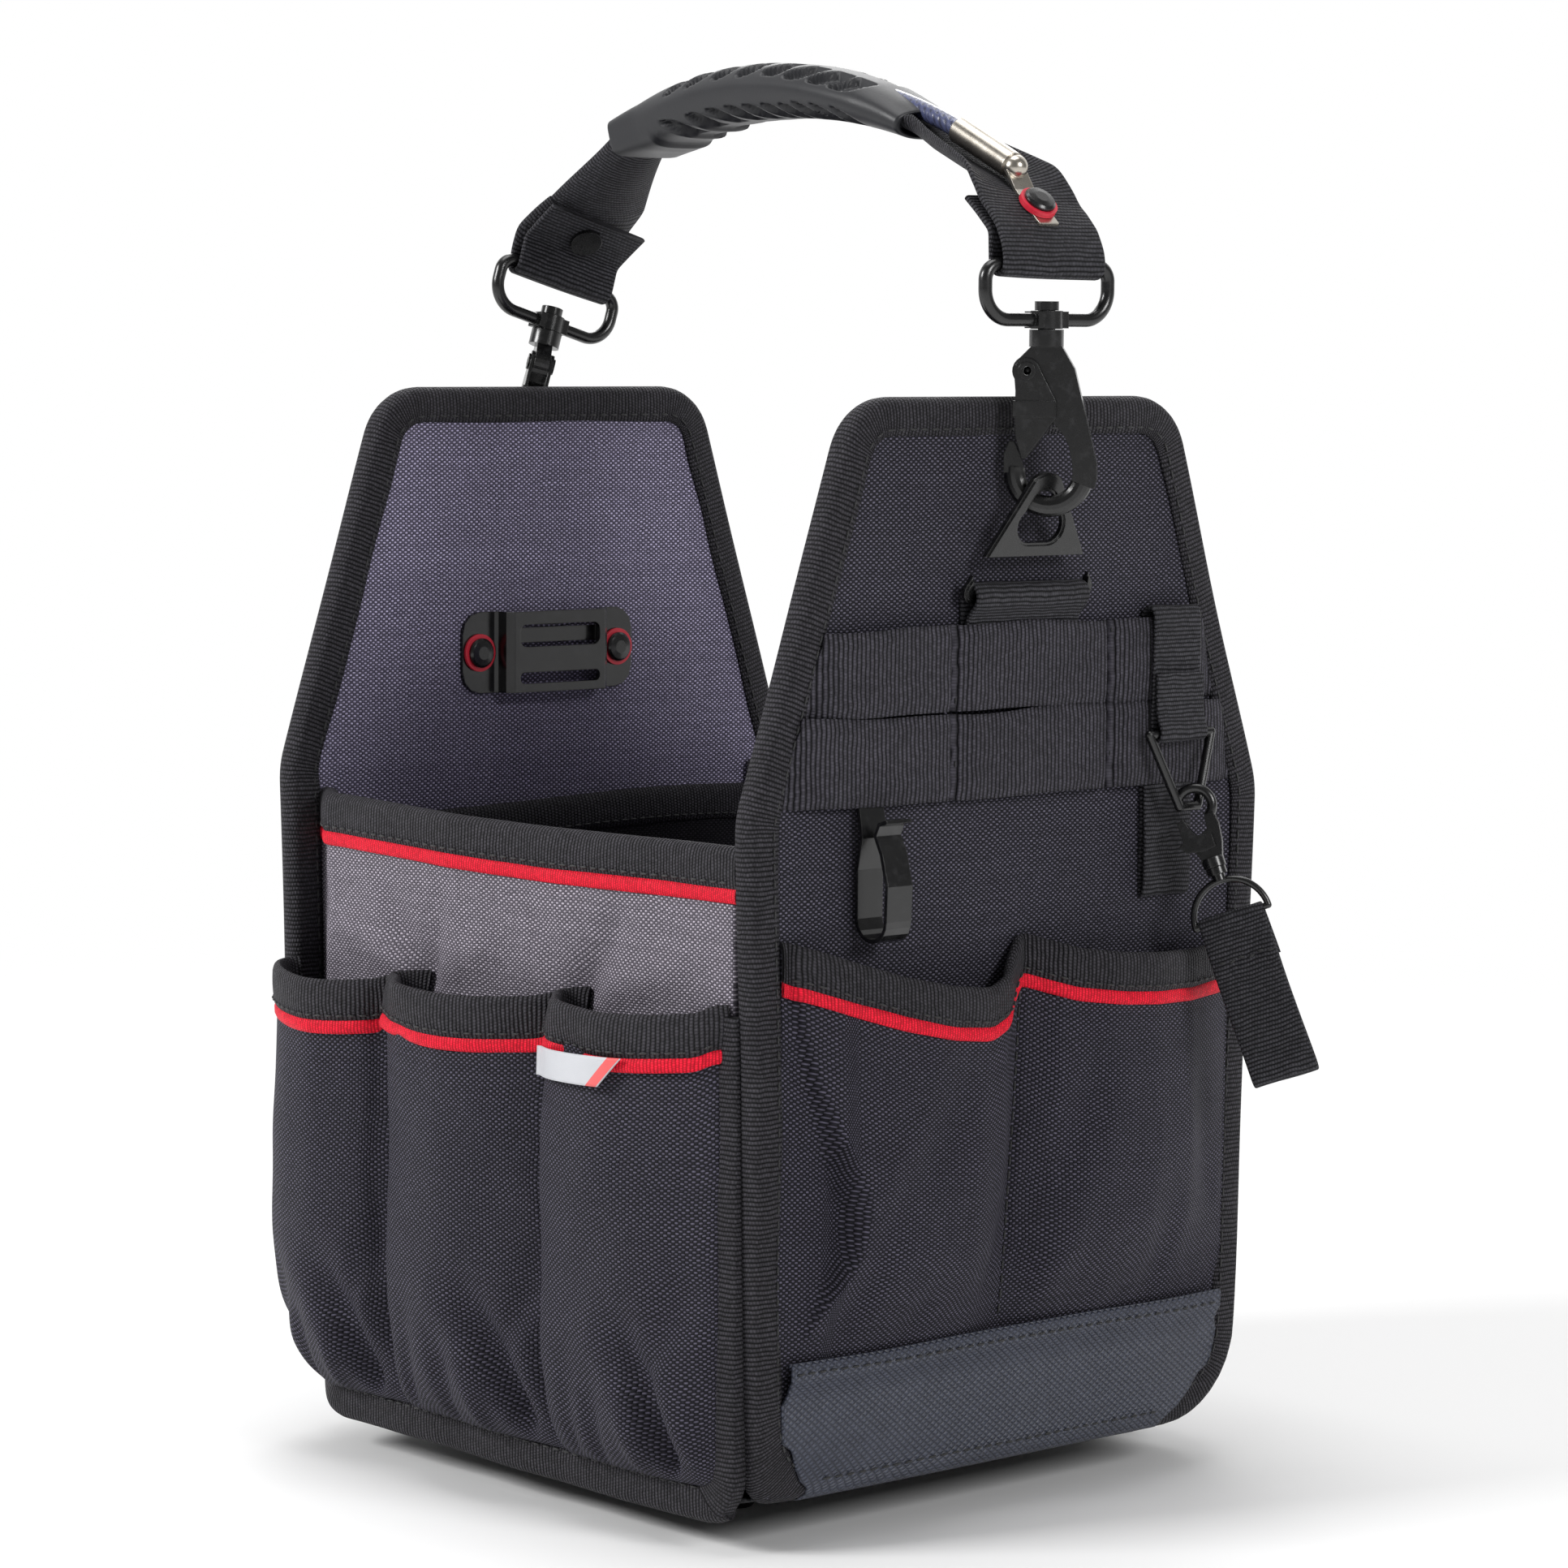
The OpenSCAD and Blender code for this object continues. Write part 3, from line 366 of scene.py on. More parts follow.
def wavy(section, path, edge_wave, face_wave):
    """a tape section per point; waves are (seed, wavelength, amount) for cut edge and faces"""
    depth, through = section.T
    sections = np.repeat(section[None], len(path), 0)
    sections[..., 0] += wander(path, *edge_wave)[:, None] * (depth > 8)
    on_face = (depth > 2.5) & (depth < depth.max() - 0.1)
    sections[..., 1] += np.sign(through) * wander(path, *face_wave)[:, None] * on_face
    return sections


# rings of one thread: place along its length, relative radius, rise in radii
THREAD_RINGS = np.array([(-0.5, 0.25, -0.35), (-0.34, 0.9, 0), (0, 1.12, 0.1), (0.34, 0.9, 0),
                         (0.5, 0.25, -0.35)])


def stitches(path, normals, length=2.9, gap=1.5, radius=0.34, lift=0.12):
    """short threads lying along the path; normals point out of the cloth"""
    path = np.asarray(path, float)
    normals = np.broadcast_to(np.asarray(normals, float), path.shape)
    s = lengths(path)
    mids = np.arange(1.0 + length / 2, s[-1] - 1, length + gap)
    along = unit(at_lengths(mids + 0.3, s, path) - at_lengths(mids - 0.3, s, path))
    out = unit(at_lengths(mids, s, normals))
    aside = unit(np.cross(out, along))

    def spread(v):
        return v[:, None, None, :]

    place, size, rise = (column[None, :, None, None] for column in THREAD_RINGS.T)
    turn = np.radians(np.arange(0, 360, 60))[None, None, :, None]
    verts = (spread(at_lengths(mids, s, path)) + spread(along) * place * length
             + spread(aside) * np.cos(turn) * radius * size
             + spread(out) * (lift + rise * radius + np.sin(turn) * radius * size))
    faces, uvs = [], []
    for q in range(4):
        for j in range(6):
            j2 = (j + 1) % 6
            faces.append((q * 6 + j, q * 6 + j2, (q + 1) * 6 + j2, (q + 1) * 6 + j))
            uvs += [(q, j), (q, j + 1), (q + 1, j + 1), (q + 1, j)]
    faces += [tuple(range(5, -1, -1)), tuple(range(24, 30))]
    uvs += [(0, 0)] * 12
    faces = [tuple(30 * k + corner for corner in face) for k in range(len(mids)) for face in faces]
    return verts.reshape(-1, 3), faces, np.tile(np.array(uvs, float), (len(mids), 1))


# ------------------------------------------------------------------ shader tools
class Value:
    """a shader output that can be used in arithmetic; each operation adds a Math node"""
    def __init__(self, tree, socket):
        self.tree = tree
        self.socket = socket


def feed(socket, value):
    """links a Value to a socket, or sets a number or an RGB colour on it"""
    if isinstance(value, Value):
        value.tree.links.new(value.socket, socket)
    else:
        socket.default_value = value + (1.0,) if isinstance(value, tuple) else value


def math_node(operation, a, b=0.0):
    tree = (a if isinstance(a, Value) else b).tree
    node = tree.nodes.new("ShaderNodeMath")
    node.operation = operation
    feed(node.inputs[0], a)
    feed(node.inputs[1], b)
    return Value(tree, node.outputs[0])


for method, operation in (("add", "ADD"), ("sub", "SUBTRACT"), ("mul", "MULTIPLY"),
                          ("truediv", "DIVIDE"), ("pow", "POWER")):
    setattr(Value, f"__{method}__", lambda a, b, op=operation: math_node(op, a, b))
    setattr(Value, f"__r{method}__", lambda a, b, op=operation: math_node(op, b, a))


def sine(x):
    return math_node("SINE", x)


def cells(x):
    """place within a cell of length 1, and the cell's number"""
    return math_node("FRACT", x), math_node("FLOOR", x)


def blend(factor, a, b):
    return factor * b + (1.0 - factor) * a


def times(color, k):
    return tuple(c * k for c in color)


class Shader:
    """a material under construction"""
    def __init__(self, name):
        self.material = bpy.data.materials.new(name)
        self.material.use_nodes = True
        self.tree = self.material.node_tree
        self.tree.nodes.clear()
        self.output = self.node("OutputMaterial")
        self.principled = self.node("BsdfPrincipled")
        self.tree.links.new(self.principled.outputs[0], self.output.inputs[0])

    def node(self, kind, **settings):
        node = self.tree.nodes.new("ShaderNode" + kind)
        for name, value in settings.items():
            setattr(node, name, value)
        return node

    def fed(self, kind, inputs, output=0, **settings):
        """adds a node, feeds its inputs and returns one output"""
        node = self.node(kind, **settings)
        for key, value in inputs.items():
            feed(node.inputs[key], value)
        return Value(self.tree, node.outputs[output])

    def mix(self, factor, a, b, blend_type="MIX"):
        return self.fed("Mix", {"Factor": factor, 6: a, 7: b}, 2,
                        data_type="RGBA", blend_type=blend_type)

    def tint(self, color, brightness):
        grey = self.fed("CombineXYZ", {0: brightness, 1: brightness, 2: brightness})
        return self.mix(1.0, color, grey, "MULTIPLY")

    def separate(self, vector):
        node = self.node("SeparateXYZ")
        feed(node.inputs[0], vector)
        return [Value(self.tree, output) for output in node.outputs]

    def uv(self):
        """the UV vector, u and v, in mm on cloth"""
        vec = self.fed("UVMap", {}, uv_map="UVMap")
        vec = self.fed("Mapping", {0: vec})
        u, v, _ = self.separate(vec)
        return vec, u, v

    def geometry(self, output="Position"):
        return self.fed("NewGeometry", {}, output)

    def noise(self, vec, scale, detail=3.0, roughness=0.55):
        return self.fed("TexNoise", {"Vector": vec, "Scale": scale, "Detail": detail,
                                     "Roughness": roughness}, "Fac")

    def random(self, a, b):
        """a random value for each pair of cell numbers"""
        pair = self.fed("CombineXYZ", {0: a, 1: b})
        return self.fed("TexWhiteNoise", {"Vector": pair}, "Value", noise_dimensions="2D")

    def ramp(self, value, low, high):
        """black up to low, white from high on"""
        node = self.node("ValToRGB")
        node.color_ramp.elements[0].position = low
        node.color_ramp.elements[1].position = high
        feed(node.inputs[0], value)
        return Value(self.tree, node.outputs[0])

    def bump(self, height, distance, strength, bevel=None):
        inputs = {"Strength": strength, "Distance": distance, "Height": height}
        if bevel is not None:
            inputs["Normal"] = self.fed("Bevel", {"Radius": bevel}, samples=4)
        return self.fed("Bump", inputs)

    def done(self, color, rough, normal=None, metal=0.0, spec=0.5, sheen=0.0, coat=0.0):
        inputs = {"Base Color": color, "Roughness": rough, "Metallic": metal,
                  "Specular IOR Level": spec}
        if sheen:
            inputs.update({"Sheen Weight": sheen, "Sheen Roughness": 0.45})
        if coat:
            inputs.update({"Coat Weight": coat, "Coat Roughness": 0.12})
        if normal is not None:
            inputs["Normal"] = normal
        for key, value in inputs.items():
            feed(self.principled.inputs[key], value)
        return self.material


# ------------------------------------------------------------------ materials
CLOTH_SHINE = dict(sheen=0.02, spec=0.16)


def weave(name, groove_shade, warp, weft, bump=0.00034, patches=0.18):
    """plain weave of thick yarns: the warp floats carry a painted highlight, the weft floats painted
    shade, and the hollows between the yarns are painted shade
    """
    pitch_u, pitch_v = 1.08, 0.74
    g = Shader(name)
    vec, u, v = g.uv()
    # the yarns wander a little
    u = u + g.noise(vec, scale=0.09, detail=2.0) * 2.2
    v = v + g.noise(vec, scale=0.07, detail=1.0) * 1.6
    in_u, cell_u = cells(u / pitch_u)
    in_v, cell_v = cells(v / pitch_v)
    is_warp = math_node("ROUND", math_node("FRACT", (cell_u + cell_v) * 0.5) * 2.0)
    round_u, round_v = sine(in_u * math.pi), sine(in_v * math.pi)
    warp_height = round_v ** 0.6 * (round_u * 0.55 + 0.45)
    weft_height = round_u ** 0.6 * (round_v * 0.55 + 0.45)
    height = blend(is_warp, weft_height * 0.72, warp_height)
    # fine filament lines inside each yarn
    filaments = sine(blend(is_warp, u, v + u * 0.5) * 26.0) * 0.05
    fleck = g.random(cell_u, cell_v)
    yarn = g.random(blend(is_warp, cell_u, 0.0), blend(is_warp, 0.0, cell_v))
    # brightness varies by float, by yarn and in broad patches
    tone = 0.78 + (fleck * 0.35 + yarn * 0.22)
    light = tone * ((1.0 - patches) + g.noise(vec, scale=0.02, detail=2.0) * (2 * patches))
    # painted shade in the hollows between the yarns and painted highlight on their crests, following
    # the yarns' height
    color = g.mix(height ** 1.35, groove_shade, g.tint(g.mix(is_warp, weft, warp), light))
    rough = 0.52 + g.noise(vec, scale=1.7, detail=2.0) * 0.2
    normal = g.bump(height + filaments, distance=bump, strength=0.9)
    return g.done(color, rough, normal, **CLOTH_SHINE)


def ribbed(name, groove_shade, light, pitch, bead, bump, strength, bead_depth):
    """grosgrain and webbing: ribs across the length, with the warp's small beads on them; their
    crests carry a painted highlight and the grooves painted shade
    """
    g = Shader(name)
    vec, u, v = g.uv()
    u = u + g.noise(vec, scale=0.13, detail=2.0) * 1.3
    in_rib, rib = cells(u / pitch)
    in_bead, bead_cell = cells(v / bead + rib * 0.5)
    rib_height = sine(in_rib * math.pi) ** 0.7
    bead_height = sine(in_bead * math.pi)
    height = rib_height * ((1.0 - bead_depth) + bead_height * bead_depth)
    # brightness varies by bead and in broad patches
    bright = ((0.75 + g.random(rib, bead_cell) * 0.5)
              * (0.8 + g.noise(vec, scale=0.05, detail=2.0) * 0.4))
    # painted shade in the grooves between ribs and beads and painted highlight on their crests,
    # following their height
    color = g.mix(height ** 1.5, groove_shade, g.tint(light, bright))
    rough = 0.52 + g.noise(vec, scale=1.3, detail=2.0) * 0.16
    return g.done(color, rough, g.bump(height, distance=bump, strength=strength), **CLOTH_SHINE)


def coated(name):
    """coated band cloth with small raised diamonds"""
    wide, high = 2.65, 1.95
    g = Shader(name)
    vec, u, v = g.uv()
    in_a, cell_a = cells(u / wide + v / high)
    in_b, cell_b = cells(u / wide - v / high)
    off_a, off_b = math_node("ABSOLUTE", in_a - 0.5), math_node("ABSOLUTE", in_b - 0.5)
    height = 1.0 - math_node("MAXIMUM", off_a, off_b) * 2.0
    height = math_node("MINIMUM", height * 1.5, 1.0)
    patches = g.noise(vec, scale=0.05)
    # painted highlight on the raised diamonds and painted shade in the grooves round them, with
    # random tone per diamond and in patches
    light = height * 0.6 + (g.random(cell_a, cell_b) * 0.18 + patches * 0.25)
    color = g.mix(light, (0.008, 0.009, 0.016), (0.066, 0.074, 0.108))
    rough = 0.38 + g.noise(vec, scale=0.6) * 0.2
    grain = g.noise(vec, scale=4.0, detail=2.0) * 0.15
    return g.done(color, rough, g.bump(height + grain, distance=0.00045, strength=0.85))


def black_metal(name, base, rough):
    """black finish, a little of it worn off along the edges"""
    g = Shader(name)
    pos = g.geometry()
    grain, cloud = g.noise(pos, scale=900.0), g.noise(pos, scale=90.0)
    edge = g.ramp(g.geometry("Pointiness"), low=0.50, high=0.56)
    scratch = g.ramp(g.noise(pos, scale=260.0, detail=4.0, roughness=0.7), low=0.52, high=0.70)
    wear = (edge * scratch) * 0.08
    color = g.mix(cloud * 0.6, (base, base, base * 1.08), (base * 2.0, base * 2.0, base * 2.2))
    color = g.mix(wear, color, (0.16, 0.16, 0.17))
    rough = (rough - 0.08) + (cloud * 0.12 + grain * 0.10)
    normal = g.bump(grain, distance=0.00002, strength=0.35, bevel=0.0004)
    return g.done(color, rough, normal, coat=0.25)


def nickel(name):
    g = Shader(name)
    pos = g.geometry()
    grain = g.noise(g.fed("Mapping", {0: pos}), scale=1400.0, detail=2.0)
    cloud = g.noise(pos, scale=160.0)
    color = g.mix(cloud, (0.46, 0.42, 0.36), (0.62, 0.58, 0.52))
    normal = g.bump(grain, distance=0.000006, strength=0.3, bevel=0.0004)
    return g.done(color, 0.20 + cloud * 0.14, normal, metal=1.0)


def rubber(name, color, rough, grain_depth):
    g = Shader(name)
    pos = g.geometry()
    grain = g.noise(pos, scale=1600.0, detail=2.0)
    cloud = g.noise(pos, scale=60.0, detail=4.0)
    mixed = g.mix(cloud, color, times(color, 1.7))
    rough = (rough - 0.1) + (cloud * 0.16 + grain * 0.08)
    return g.done(mixed, rough, g.bump(grain, distance=grain_depth, strength=0.6), spec=0.45)


def red_plastic(name):
    g = Shader(name)
    cloud = g.noise(g.geometry(), scale=500.0)
    color = g.mix(cloud, (0.55, 0.01, 0.03), (0.72, 0.03, 0.06))
    normal = g.bump(cloud, distance=0.00005, strength=0.4, bevel=0.0002)
    return g.done(color, 0.32 + cloud * 0.15, normal)


def cable_sleeve(name):
    """braided core seen through a clear sleeve"""
    g = Shader(name)
    pos = g.geometry()
    x, y, z = g.separate(pos)
    # two sets of strands, in radians per metre, crossing each other
    round_core = y * 2600.0 + z * -900.0
    along = x * 3400.0 + 0.0
    braid = math_node("MAXIMUM", sine(round_core + along), sine(round_core - along))
    # the braid's pattern in two tones: its crests painted lighter as a painted highlight, the gaps
    # between strands painted shade
    color = g.mix(braid * 0.5 + 0.5, (0.004, 0.005, 0.026), (0.050, 0.062, 0.160))
    color = g.mix(g.noise(pos, scale=120.0) * 0.35, color, (0.20, 0.21, 0.27))
    normal = g.bump(braid, distance=0.00012, strength=0.35)
    return g.done(color, 0.22, normal, spec=0.6, coat=0.8)


def thread(name, color):
    g = Shader(name)
    _, u, v = g.uv()
    twist = sine(u * 9.0 + v * 1.0)
    # painted highlight on the twist's ridges and painted shade in its grooves: lit and shaded copies
    # of the thread's colour
    mixed = g.mix(0.5 + twist * 0.4, times(color, 0.6), times(color, 1.5))
    return g.done(mixed, 0.55, g.bump(twist, distance=0.00005, strength=0.5), sheen=0.1)


def tag_cloth(name):
    """plain satin tag with one red slanted stripe"""
    slant, stripe_start, stripe_end = 0.95, 32.4, 36.6
    g = Shader(name)
    vec, u, v = g.uv()
    place = u - v * slant
    stripe = (math_node("GREATER_THAN", place, stripe_start)
              * math_node("LESS_THAN", place, stripe_end))
    threads = sine((u + v) * 14.0)
    # painted sheen: the satin's thread ridges painted lighter, the furrows between them darker
    color = g.mix(0.5 + threads * 0.25, (0.50, 0.51, 0.54), (0.66, 0.67, 0.70))
    color = g.mix(g.noise(vec, scale=0.12, detail=2.0) * 0.4, color, (0.42, 0.43, 0.47))
    color = g.mix(stripe, color, (0.80, 0.10, 0.10))
    return g.done(color, 0.38, g.bump(threads, distance=0.00006, strength=0.5), sheen=0.2)


def board(name):
    g = Shader(name)
    cloud = g.noise(g.geometry(), scale=200.0, detail=4.0)
    color = g.mix(cloud, (0.010, 0.010, 0.011), (0.03, 0.03, 0.032))
    return g.done(color, 0.5 + cloud * 0.2, g.bump(cloud, distance=0.0001, strength=0.5))


# each weave's first colour is painted shade between the yarns, its warp colour a painted highlight
# and its weft colour painted shade
OUTER = weave("outer_fabric", groove_shade=(0.0020, 0.0018, 0.0030), warp=(0.125, 0.117, 0.158),
              weft=(0.019, 0.018, 0.027))
LINING = weave("lining_fabric", groove_shade=(0.018, 0.016, 0.026), warp=(0.560, 0.510, 0.720),
               weft=(0.160, 0.145, 0.220), bump=0.0003)
WALL = weave("wall_fabric", groove_shade=(0.040, 0.036, 0.046), warp=(0.500, 0.455, 0.530),
             weft=(0.170, 0.152, 0.186), bump=0.00036, patches=0.10)
POCKET = weave("pocket_fabric", groove_shade=(0.0016, 0.0015, 0.0028), warp=(0.112, 0.104, 0.146),
               weft=(0.018, 0.017, 0.025), bump=0.00042)
INNER = weave("inner_fabric", groove_shade=(0.002, 0.002, 0.003), warp=(0.036, 0.033, 0.040),
              weft=(0.010, 0.010, 0.013))
# the first colour of each ribbed cloth is painted shade in its grooves, the light colour a painted
# highlight on its crests
BINDING = ribbed("binding_tape", groove_shade=(0.0006, 0.0006, 0.0008), light=(0.052, 0.049, 0.058),
                 pitch=1.35, bead=0.95, bump=0.00075, strength=0.95, bead_depth=0.35)
WEBBING = ribbed("webbing", groove_shade=(0.0005, 0.0005, 0.0007), light=(0.066, 0.062, 0.078),
                 pitch=1.6, bead=0.9, bump=0.0008, strength=1.0, bead_depth=0.22)
HEAVY_WEBBING = ribbed("webbing_heavy", groove_shade=(0.0007, 0.0007, 0.0009),
                       light=(0.052, 0.051, 0.059), pitch=1.25, bead=0.9, bump=0.0006,
                       strength=0.9, bead_depth=0.28)
PIPING = ribbed("red_piping", groove_shade=(0.30, 0.002, 0.008), light=(0.92, 0.012, 0.042),
                pitch=1.0, bead=0.7, bump=0.0002, strength=0.5, bead_depth=0.4)
BAND = coated("coated_band")
BASE = weave("base_fabric", groove_shade=(0.004, 0.004, 0.005), warp=(0.03, 0.03, 0.034),
             weft=(0.014, 0.014, 0.016))
METAL = black_metal("black_metal", base=0.0024, rough=0.24)
GLOSS_METAL = black_metal("black_metal_gloss", base=0.0035, rough=0.20)
NICKEL = nickel("nickel")
GRIP_RUBBER = rubber("grip_rubber", color=(0.0100, 0.0104, 0.0125), rough=0.42,
                     grain_depth=0.00006)
FOOT_RUBBER = rubber("foot_rubber", color=(0.008, 0.008, 0.008), rough=0.55,
                     grain_depth=0.0001)
RED_PLASTIC = red_plastic("red_washer")
CABLE = cable_sleeve("cable_sleeve")
THREAD = thread("thread_black", color=(0.012, 0.012, 0.013))
TAG = tag_cloth("tag_fabric")
BOARD = board("board")
SCREW = nickel("steel_screw")


# ------------------------------------------------------------------ end panels
# lean: how far the foot leans towards +Y; wave: seed and wavelength of the bow;
# flat: height, its spread and the spread in X of a place kept flat; hollow: depth mid-height
PANEL_SHAPE = {"near": dict(lean=4.0, wave=(3, 170), flat=(262, 75, 90), hollow=0.72),
               "far": dict(lean=-3.0, wave=(8, 180), flat=(250, 60, 80), hollow=0.0)}


def bow(side, x, z):
    """how far an end panel is displaced towards +Y at x, z"""
    shape = PANEL_SHAPE[side]
    points = np.stack(np.broadcast_arrays(x, 0 * x, z), -1)
    flat_z, flat_high, flat_wide = shape["flat"]
    loose = 1 - bell(z, flat_z, flat_high) * bell(x, 0, flat_wide)
    return (shape["lean"] * np.clip(1 - z / 120.0, 0, 1) ** 1.6
            + wander(points, *shape["wave"], 0.9) * loose
            - shape["hollow"] * bell(z, 120, 60) * (1 - (x / 103) ** 2))


def panel_sheet(side, inset, y_abs, thick, turn=1, nx=64, nz=90):
    """one layer of an end panel, facing outward, or inward where turn is -1"""
    t = np.linspace(0, 1, nz)
    t = t - 0.11 * np.sin(2 * math.pi * t) / (2 * math.pi) * 4
    z = PANEL_FOOT + inset + (PANEL_TOP - PANEL_FOOT - 2 * inset) * t
    x = np.linspace(-1, 1, nx)[:, None] * (half_width(z) - inset)[None, :]
    z = np.repeat(z[None, :], nx, 0)
    sign = END_SIGN[side]
    grid = np.stack([x, sign * y_abs + bow(side, x, z), z], -1)
    return slab(grid, thick, (0, sign * turn, 0), uv=grid[..., [0, 2]])


def outline_path():
    """open path round a panel from the bottom left over the top to the bottom right"""
    path = resample(OUTLINE, 1400, closed=True)
    path = path[~((path[:, 1] < PANEL_FOOT + 0.6) & (np.abs(path[:, 0]) < 67))]
    steps = np.linalg.norm(np.diff(np.vstack([path, path[:1]]), axis=0), axis=1)
    path = np.roll(path, -(np.argmax(steps) + 1), 0)
    if path[0, 0] > 0:
        path = path[::-1]
    return resample(path, 420)


PANEL_PATH = outline_path()


def panel_binding(side):
    x, z = PANEL_PATH.T
    along = tangents(PANEL_PATH)
    inward = np.stack([along[:, 1], 0 * x, -along[:, 0]], 1)
    y_dir = np.array([0, 1.0, 0])
    half = (PANEL_OUT - PANEL_IN) / 2 + 1.0
    middle = END_SIGN[side] * (PANEL_OUT + PANEL_IN) / 2
    path = np.stack([x, middle + bow(side, x, z), z], 1)
    path = path + wander(path, 11, 60, 0.25)[:, None] * y_dir
    section = tape_section(11.0, half, 1.0, 0.55)
    sections = wavy(section, path, (21, 34, 0.35), (22, 22, 0.22))
    # on the near panel, the tape's -Y face is pressed down in the middle of the top
    pressed = (np.exp(-(x / 26.0) ** 4) * ease(z, 300, 316)
               * (0.85 if side == "near" else 0.0))[:, None]
    sections[..., 1] += pressed * (section[:, 1] < -half * 0.5)
    make(side + "_panel_binding_tape", sweep(path, inward, y_dir, sections), BINDING,
         [side + "_panel_binding"])
    parts = []
    for face in (-1, 1):
        seam = path + inward * 8.9 + y_dir * face * (half + 0.35)
        if face < 0:
            seam = seam + y_dir * pressed
        parts.append(stitches(seam[6:-6], y_dir * face))
    make(side + "_panel_binding_stitch", join(parts), THREAD)


for side in END_SIGN:
    make(side + "_outer_cloth", panel_sheet(side, 1.6, PANEL_OUT, 1.3), OUTER,
         [side + "_panel_fabric"])
    make(side + "_lining_cloth", panel_sheet(side, 1.6, PANEL_IN, 0.9, turn=-1), LINING,
         [side + "_panel_lining"])
    panel_binding(side)
# the stiffener boards lie between cloth and lining
make("panel_boards_bowed",
     join([panel_sheet(side, 2.2, PANEL_OUT - 1.5, 2.6, nx=30, nz=40) for side in END_SIGN]),
     BOARD, ["panel_boards"])


# ------------------------------------------------------------------ coated bands
# height and stand-out of a band: down the face, round the foot, in under the base
BAND_PROFILE = [(BAND_TOP + 0.2, 2.6), (BAND_TOP + 0.6, 4.4), (BAND_TOP - 0.6, 5.1),
                (BAND_TOP - 4.8, 5.0), (BAND_TOP - 6.2, 4.1), (BAND_TOP - 9.0, 2.9)]
BAND_PROFILE += [(z, 1.75 + max(0, (z - 30) / 20.0) ** 2)
                 for z in np.linspace(BAND_TOP - 12, 27, 8)]
BAND_PROFILE += [(23.5, 1.8), (20, 1.9), (17.5, 1.7), (15.4, 1.0), (13.9, -0.6), (13.2, -2.6),
                 (13.1, -5.5)]
BAND_FOOT_HALF = 67   # half width under the base


def band(side):
    """coated band along the foot of an end panel"""
    sign = END_SIGN[side]
    drop = lengths(np.array(BAND_PROFILE))
    grid = np.zeros((150, len(BAND_PROFILE), 3))
    uv = np.zeros((150, len(BAND_PROFILE), 2))

    def band_wave(points):
        return 0.8 * wander(points, 31, 90, 0.6)

    for j, (z, out) in enumerate(BAND_PROFILE):
        half = half_width(max(z, 25.0)) - (11.6 if z > BAND_TOP - 9.5 else 9.9)
        if z < 30:
            half = min(half, BAND_FOOT_HALF + 16 * max(0, (z - 17.0) / 13.0) ** 0.6)
        if z < 17:
            half = BAND_FOOT_HALF
        x = np.linspace(-1, 1, 150) * half
        ripple = sign * 0.3 * np.sin(x * 0.11 + 1.0) * (z > 20)
        y = sign * (PANEL_OUT + out) + bow(side, x, z) + ripple
        height = z + band_wave(np.stack([x, y, 0 * x], 1)) * (z > 45)
        grid[:, j] = np.stack([x, y, height], 1)
        uv[:, j] = np.stack([x, np.full(150, -drop[j])], 1)
    make(side + "_coated_band", slab(grid, 1.0, (0, sign, 0), uv), BAND,
         ["base_bands"])
    parts = []
    for z, out in ((BAND_TOP - 3.0, 5.3), (19.6, 2.1)):
        half = BAND_FOOT_HALF if z < 25 else half_width(z) - 12
        x = np.linspace(-half, half, 120)
        y = sign * (PANEL_OUT + out) + bow(side, x, z) + sign * 0.3 * np.sin(x * 0.11 + 1.0)
        height = z + band_wave(np.stack([x, 0 * x, 0 * x], 1)) * (z > 45)
        parts.append(stitches(np.stack([x, y, height], 1), (0, sign, 0), length=2.7, gap=1.4))
    make(side + "_band_stitch", join(parts), THREAD)


for side in END_SIGN:
    band(side)


# ------------------------------------------------------------------ side walls
# In walls and sleeves, side is -1 for the left and 1 for the right.
WALL_TAPE = 12.0
# folds fanning out over the sleeves' seams: start y, z, end y, z, depth, width
WALL_FOLDS = [(34, 150, 66, 186, 2.0, 5.0), (34, 150, 24, 190, 1.3, 4.5),
              (40, 152, 92, 168, -1.6, 5.0), (-34, 152, -4, 188, 1.5, 5.0),
              (-34, 152, -60, 187, 1.8, 5.5), (30, 152, -6, 170, -1.2, 6.0),
              (-38, 150, -92, 172, -1.6, 6.0), (96, 168, 60, 176, 0.9, 6)]
# piping under a tape: distance past the tape's inner edge, height through the sheet
WALL_PIPING = np.array([(-0.6, 2.3), (1.0, 2.75), (2.8, 2.7), (3.7, 2.3), (3.9, 1.9),
                        (3.2, 1.55), (1.0, 1.55), (-0.6, 1.6)])
RIM_PIPING = np.array([(-0.6, 1.25), (0.8, 1.75), (2.6, 1.75), (3.7, 1.3), (3.9, 0.7),
                       (3.2, 0.35), (1.0, 0.35), (-0.6, 0.5)])
# upright tape over a wall's near end: distance along Y, stand-out
END_TAPE = np.array([(-0.4, 0.4), (0.6, 1.3), (3, 1.85), (5, 1.9), (7, 1.8), (10.0, 1.5),
                     (11.2, 0.9), (11.2, -1.2), (9, -3.9), (-0.4, -3.9)])


def wall_top(y):
    """height of a wall's top edge: it dips a little between the panels"""
    return (WALL_TOP - 0.3 - 2.2 * np.cos(y / WALL_END * math.pi / 2) ** 2
            + 1.0 * np.sin(y / 42.0 + 0.6))


def level_bottom(y):
    return WALL_FOOT - 1.4 + 0.8 * np.sin(y / 40.0)


def wall_rise(y, side):
    """how far a wall's bottom edge turns up into the panels' rounded corners"""
    if side < 0:
        near_rise = 4.0 * np.clip((-y - 92) / 13.0, 0, 1) ** 2
    else:
        near_rise = 31 * np.clip((-y - 78) / 28.0, 0, 1) ** 2.3
    return 33 * np.clip((y - 76) / 30.0, 0, 1) ** 2.3 + near_rise


def wall_bottom(y, side):
    return level_bottom(y) + wall_rise(y, side)


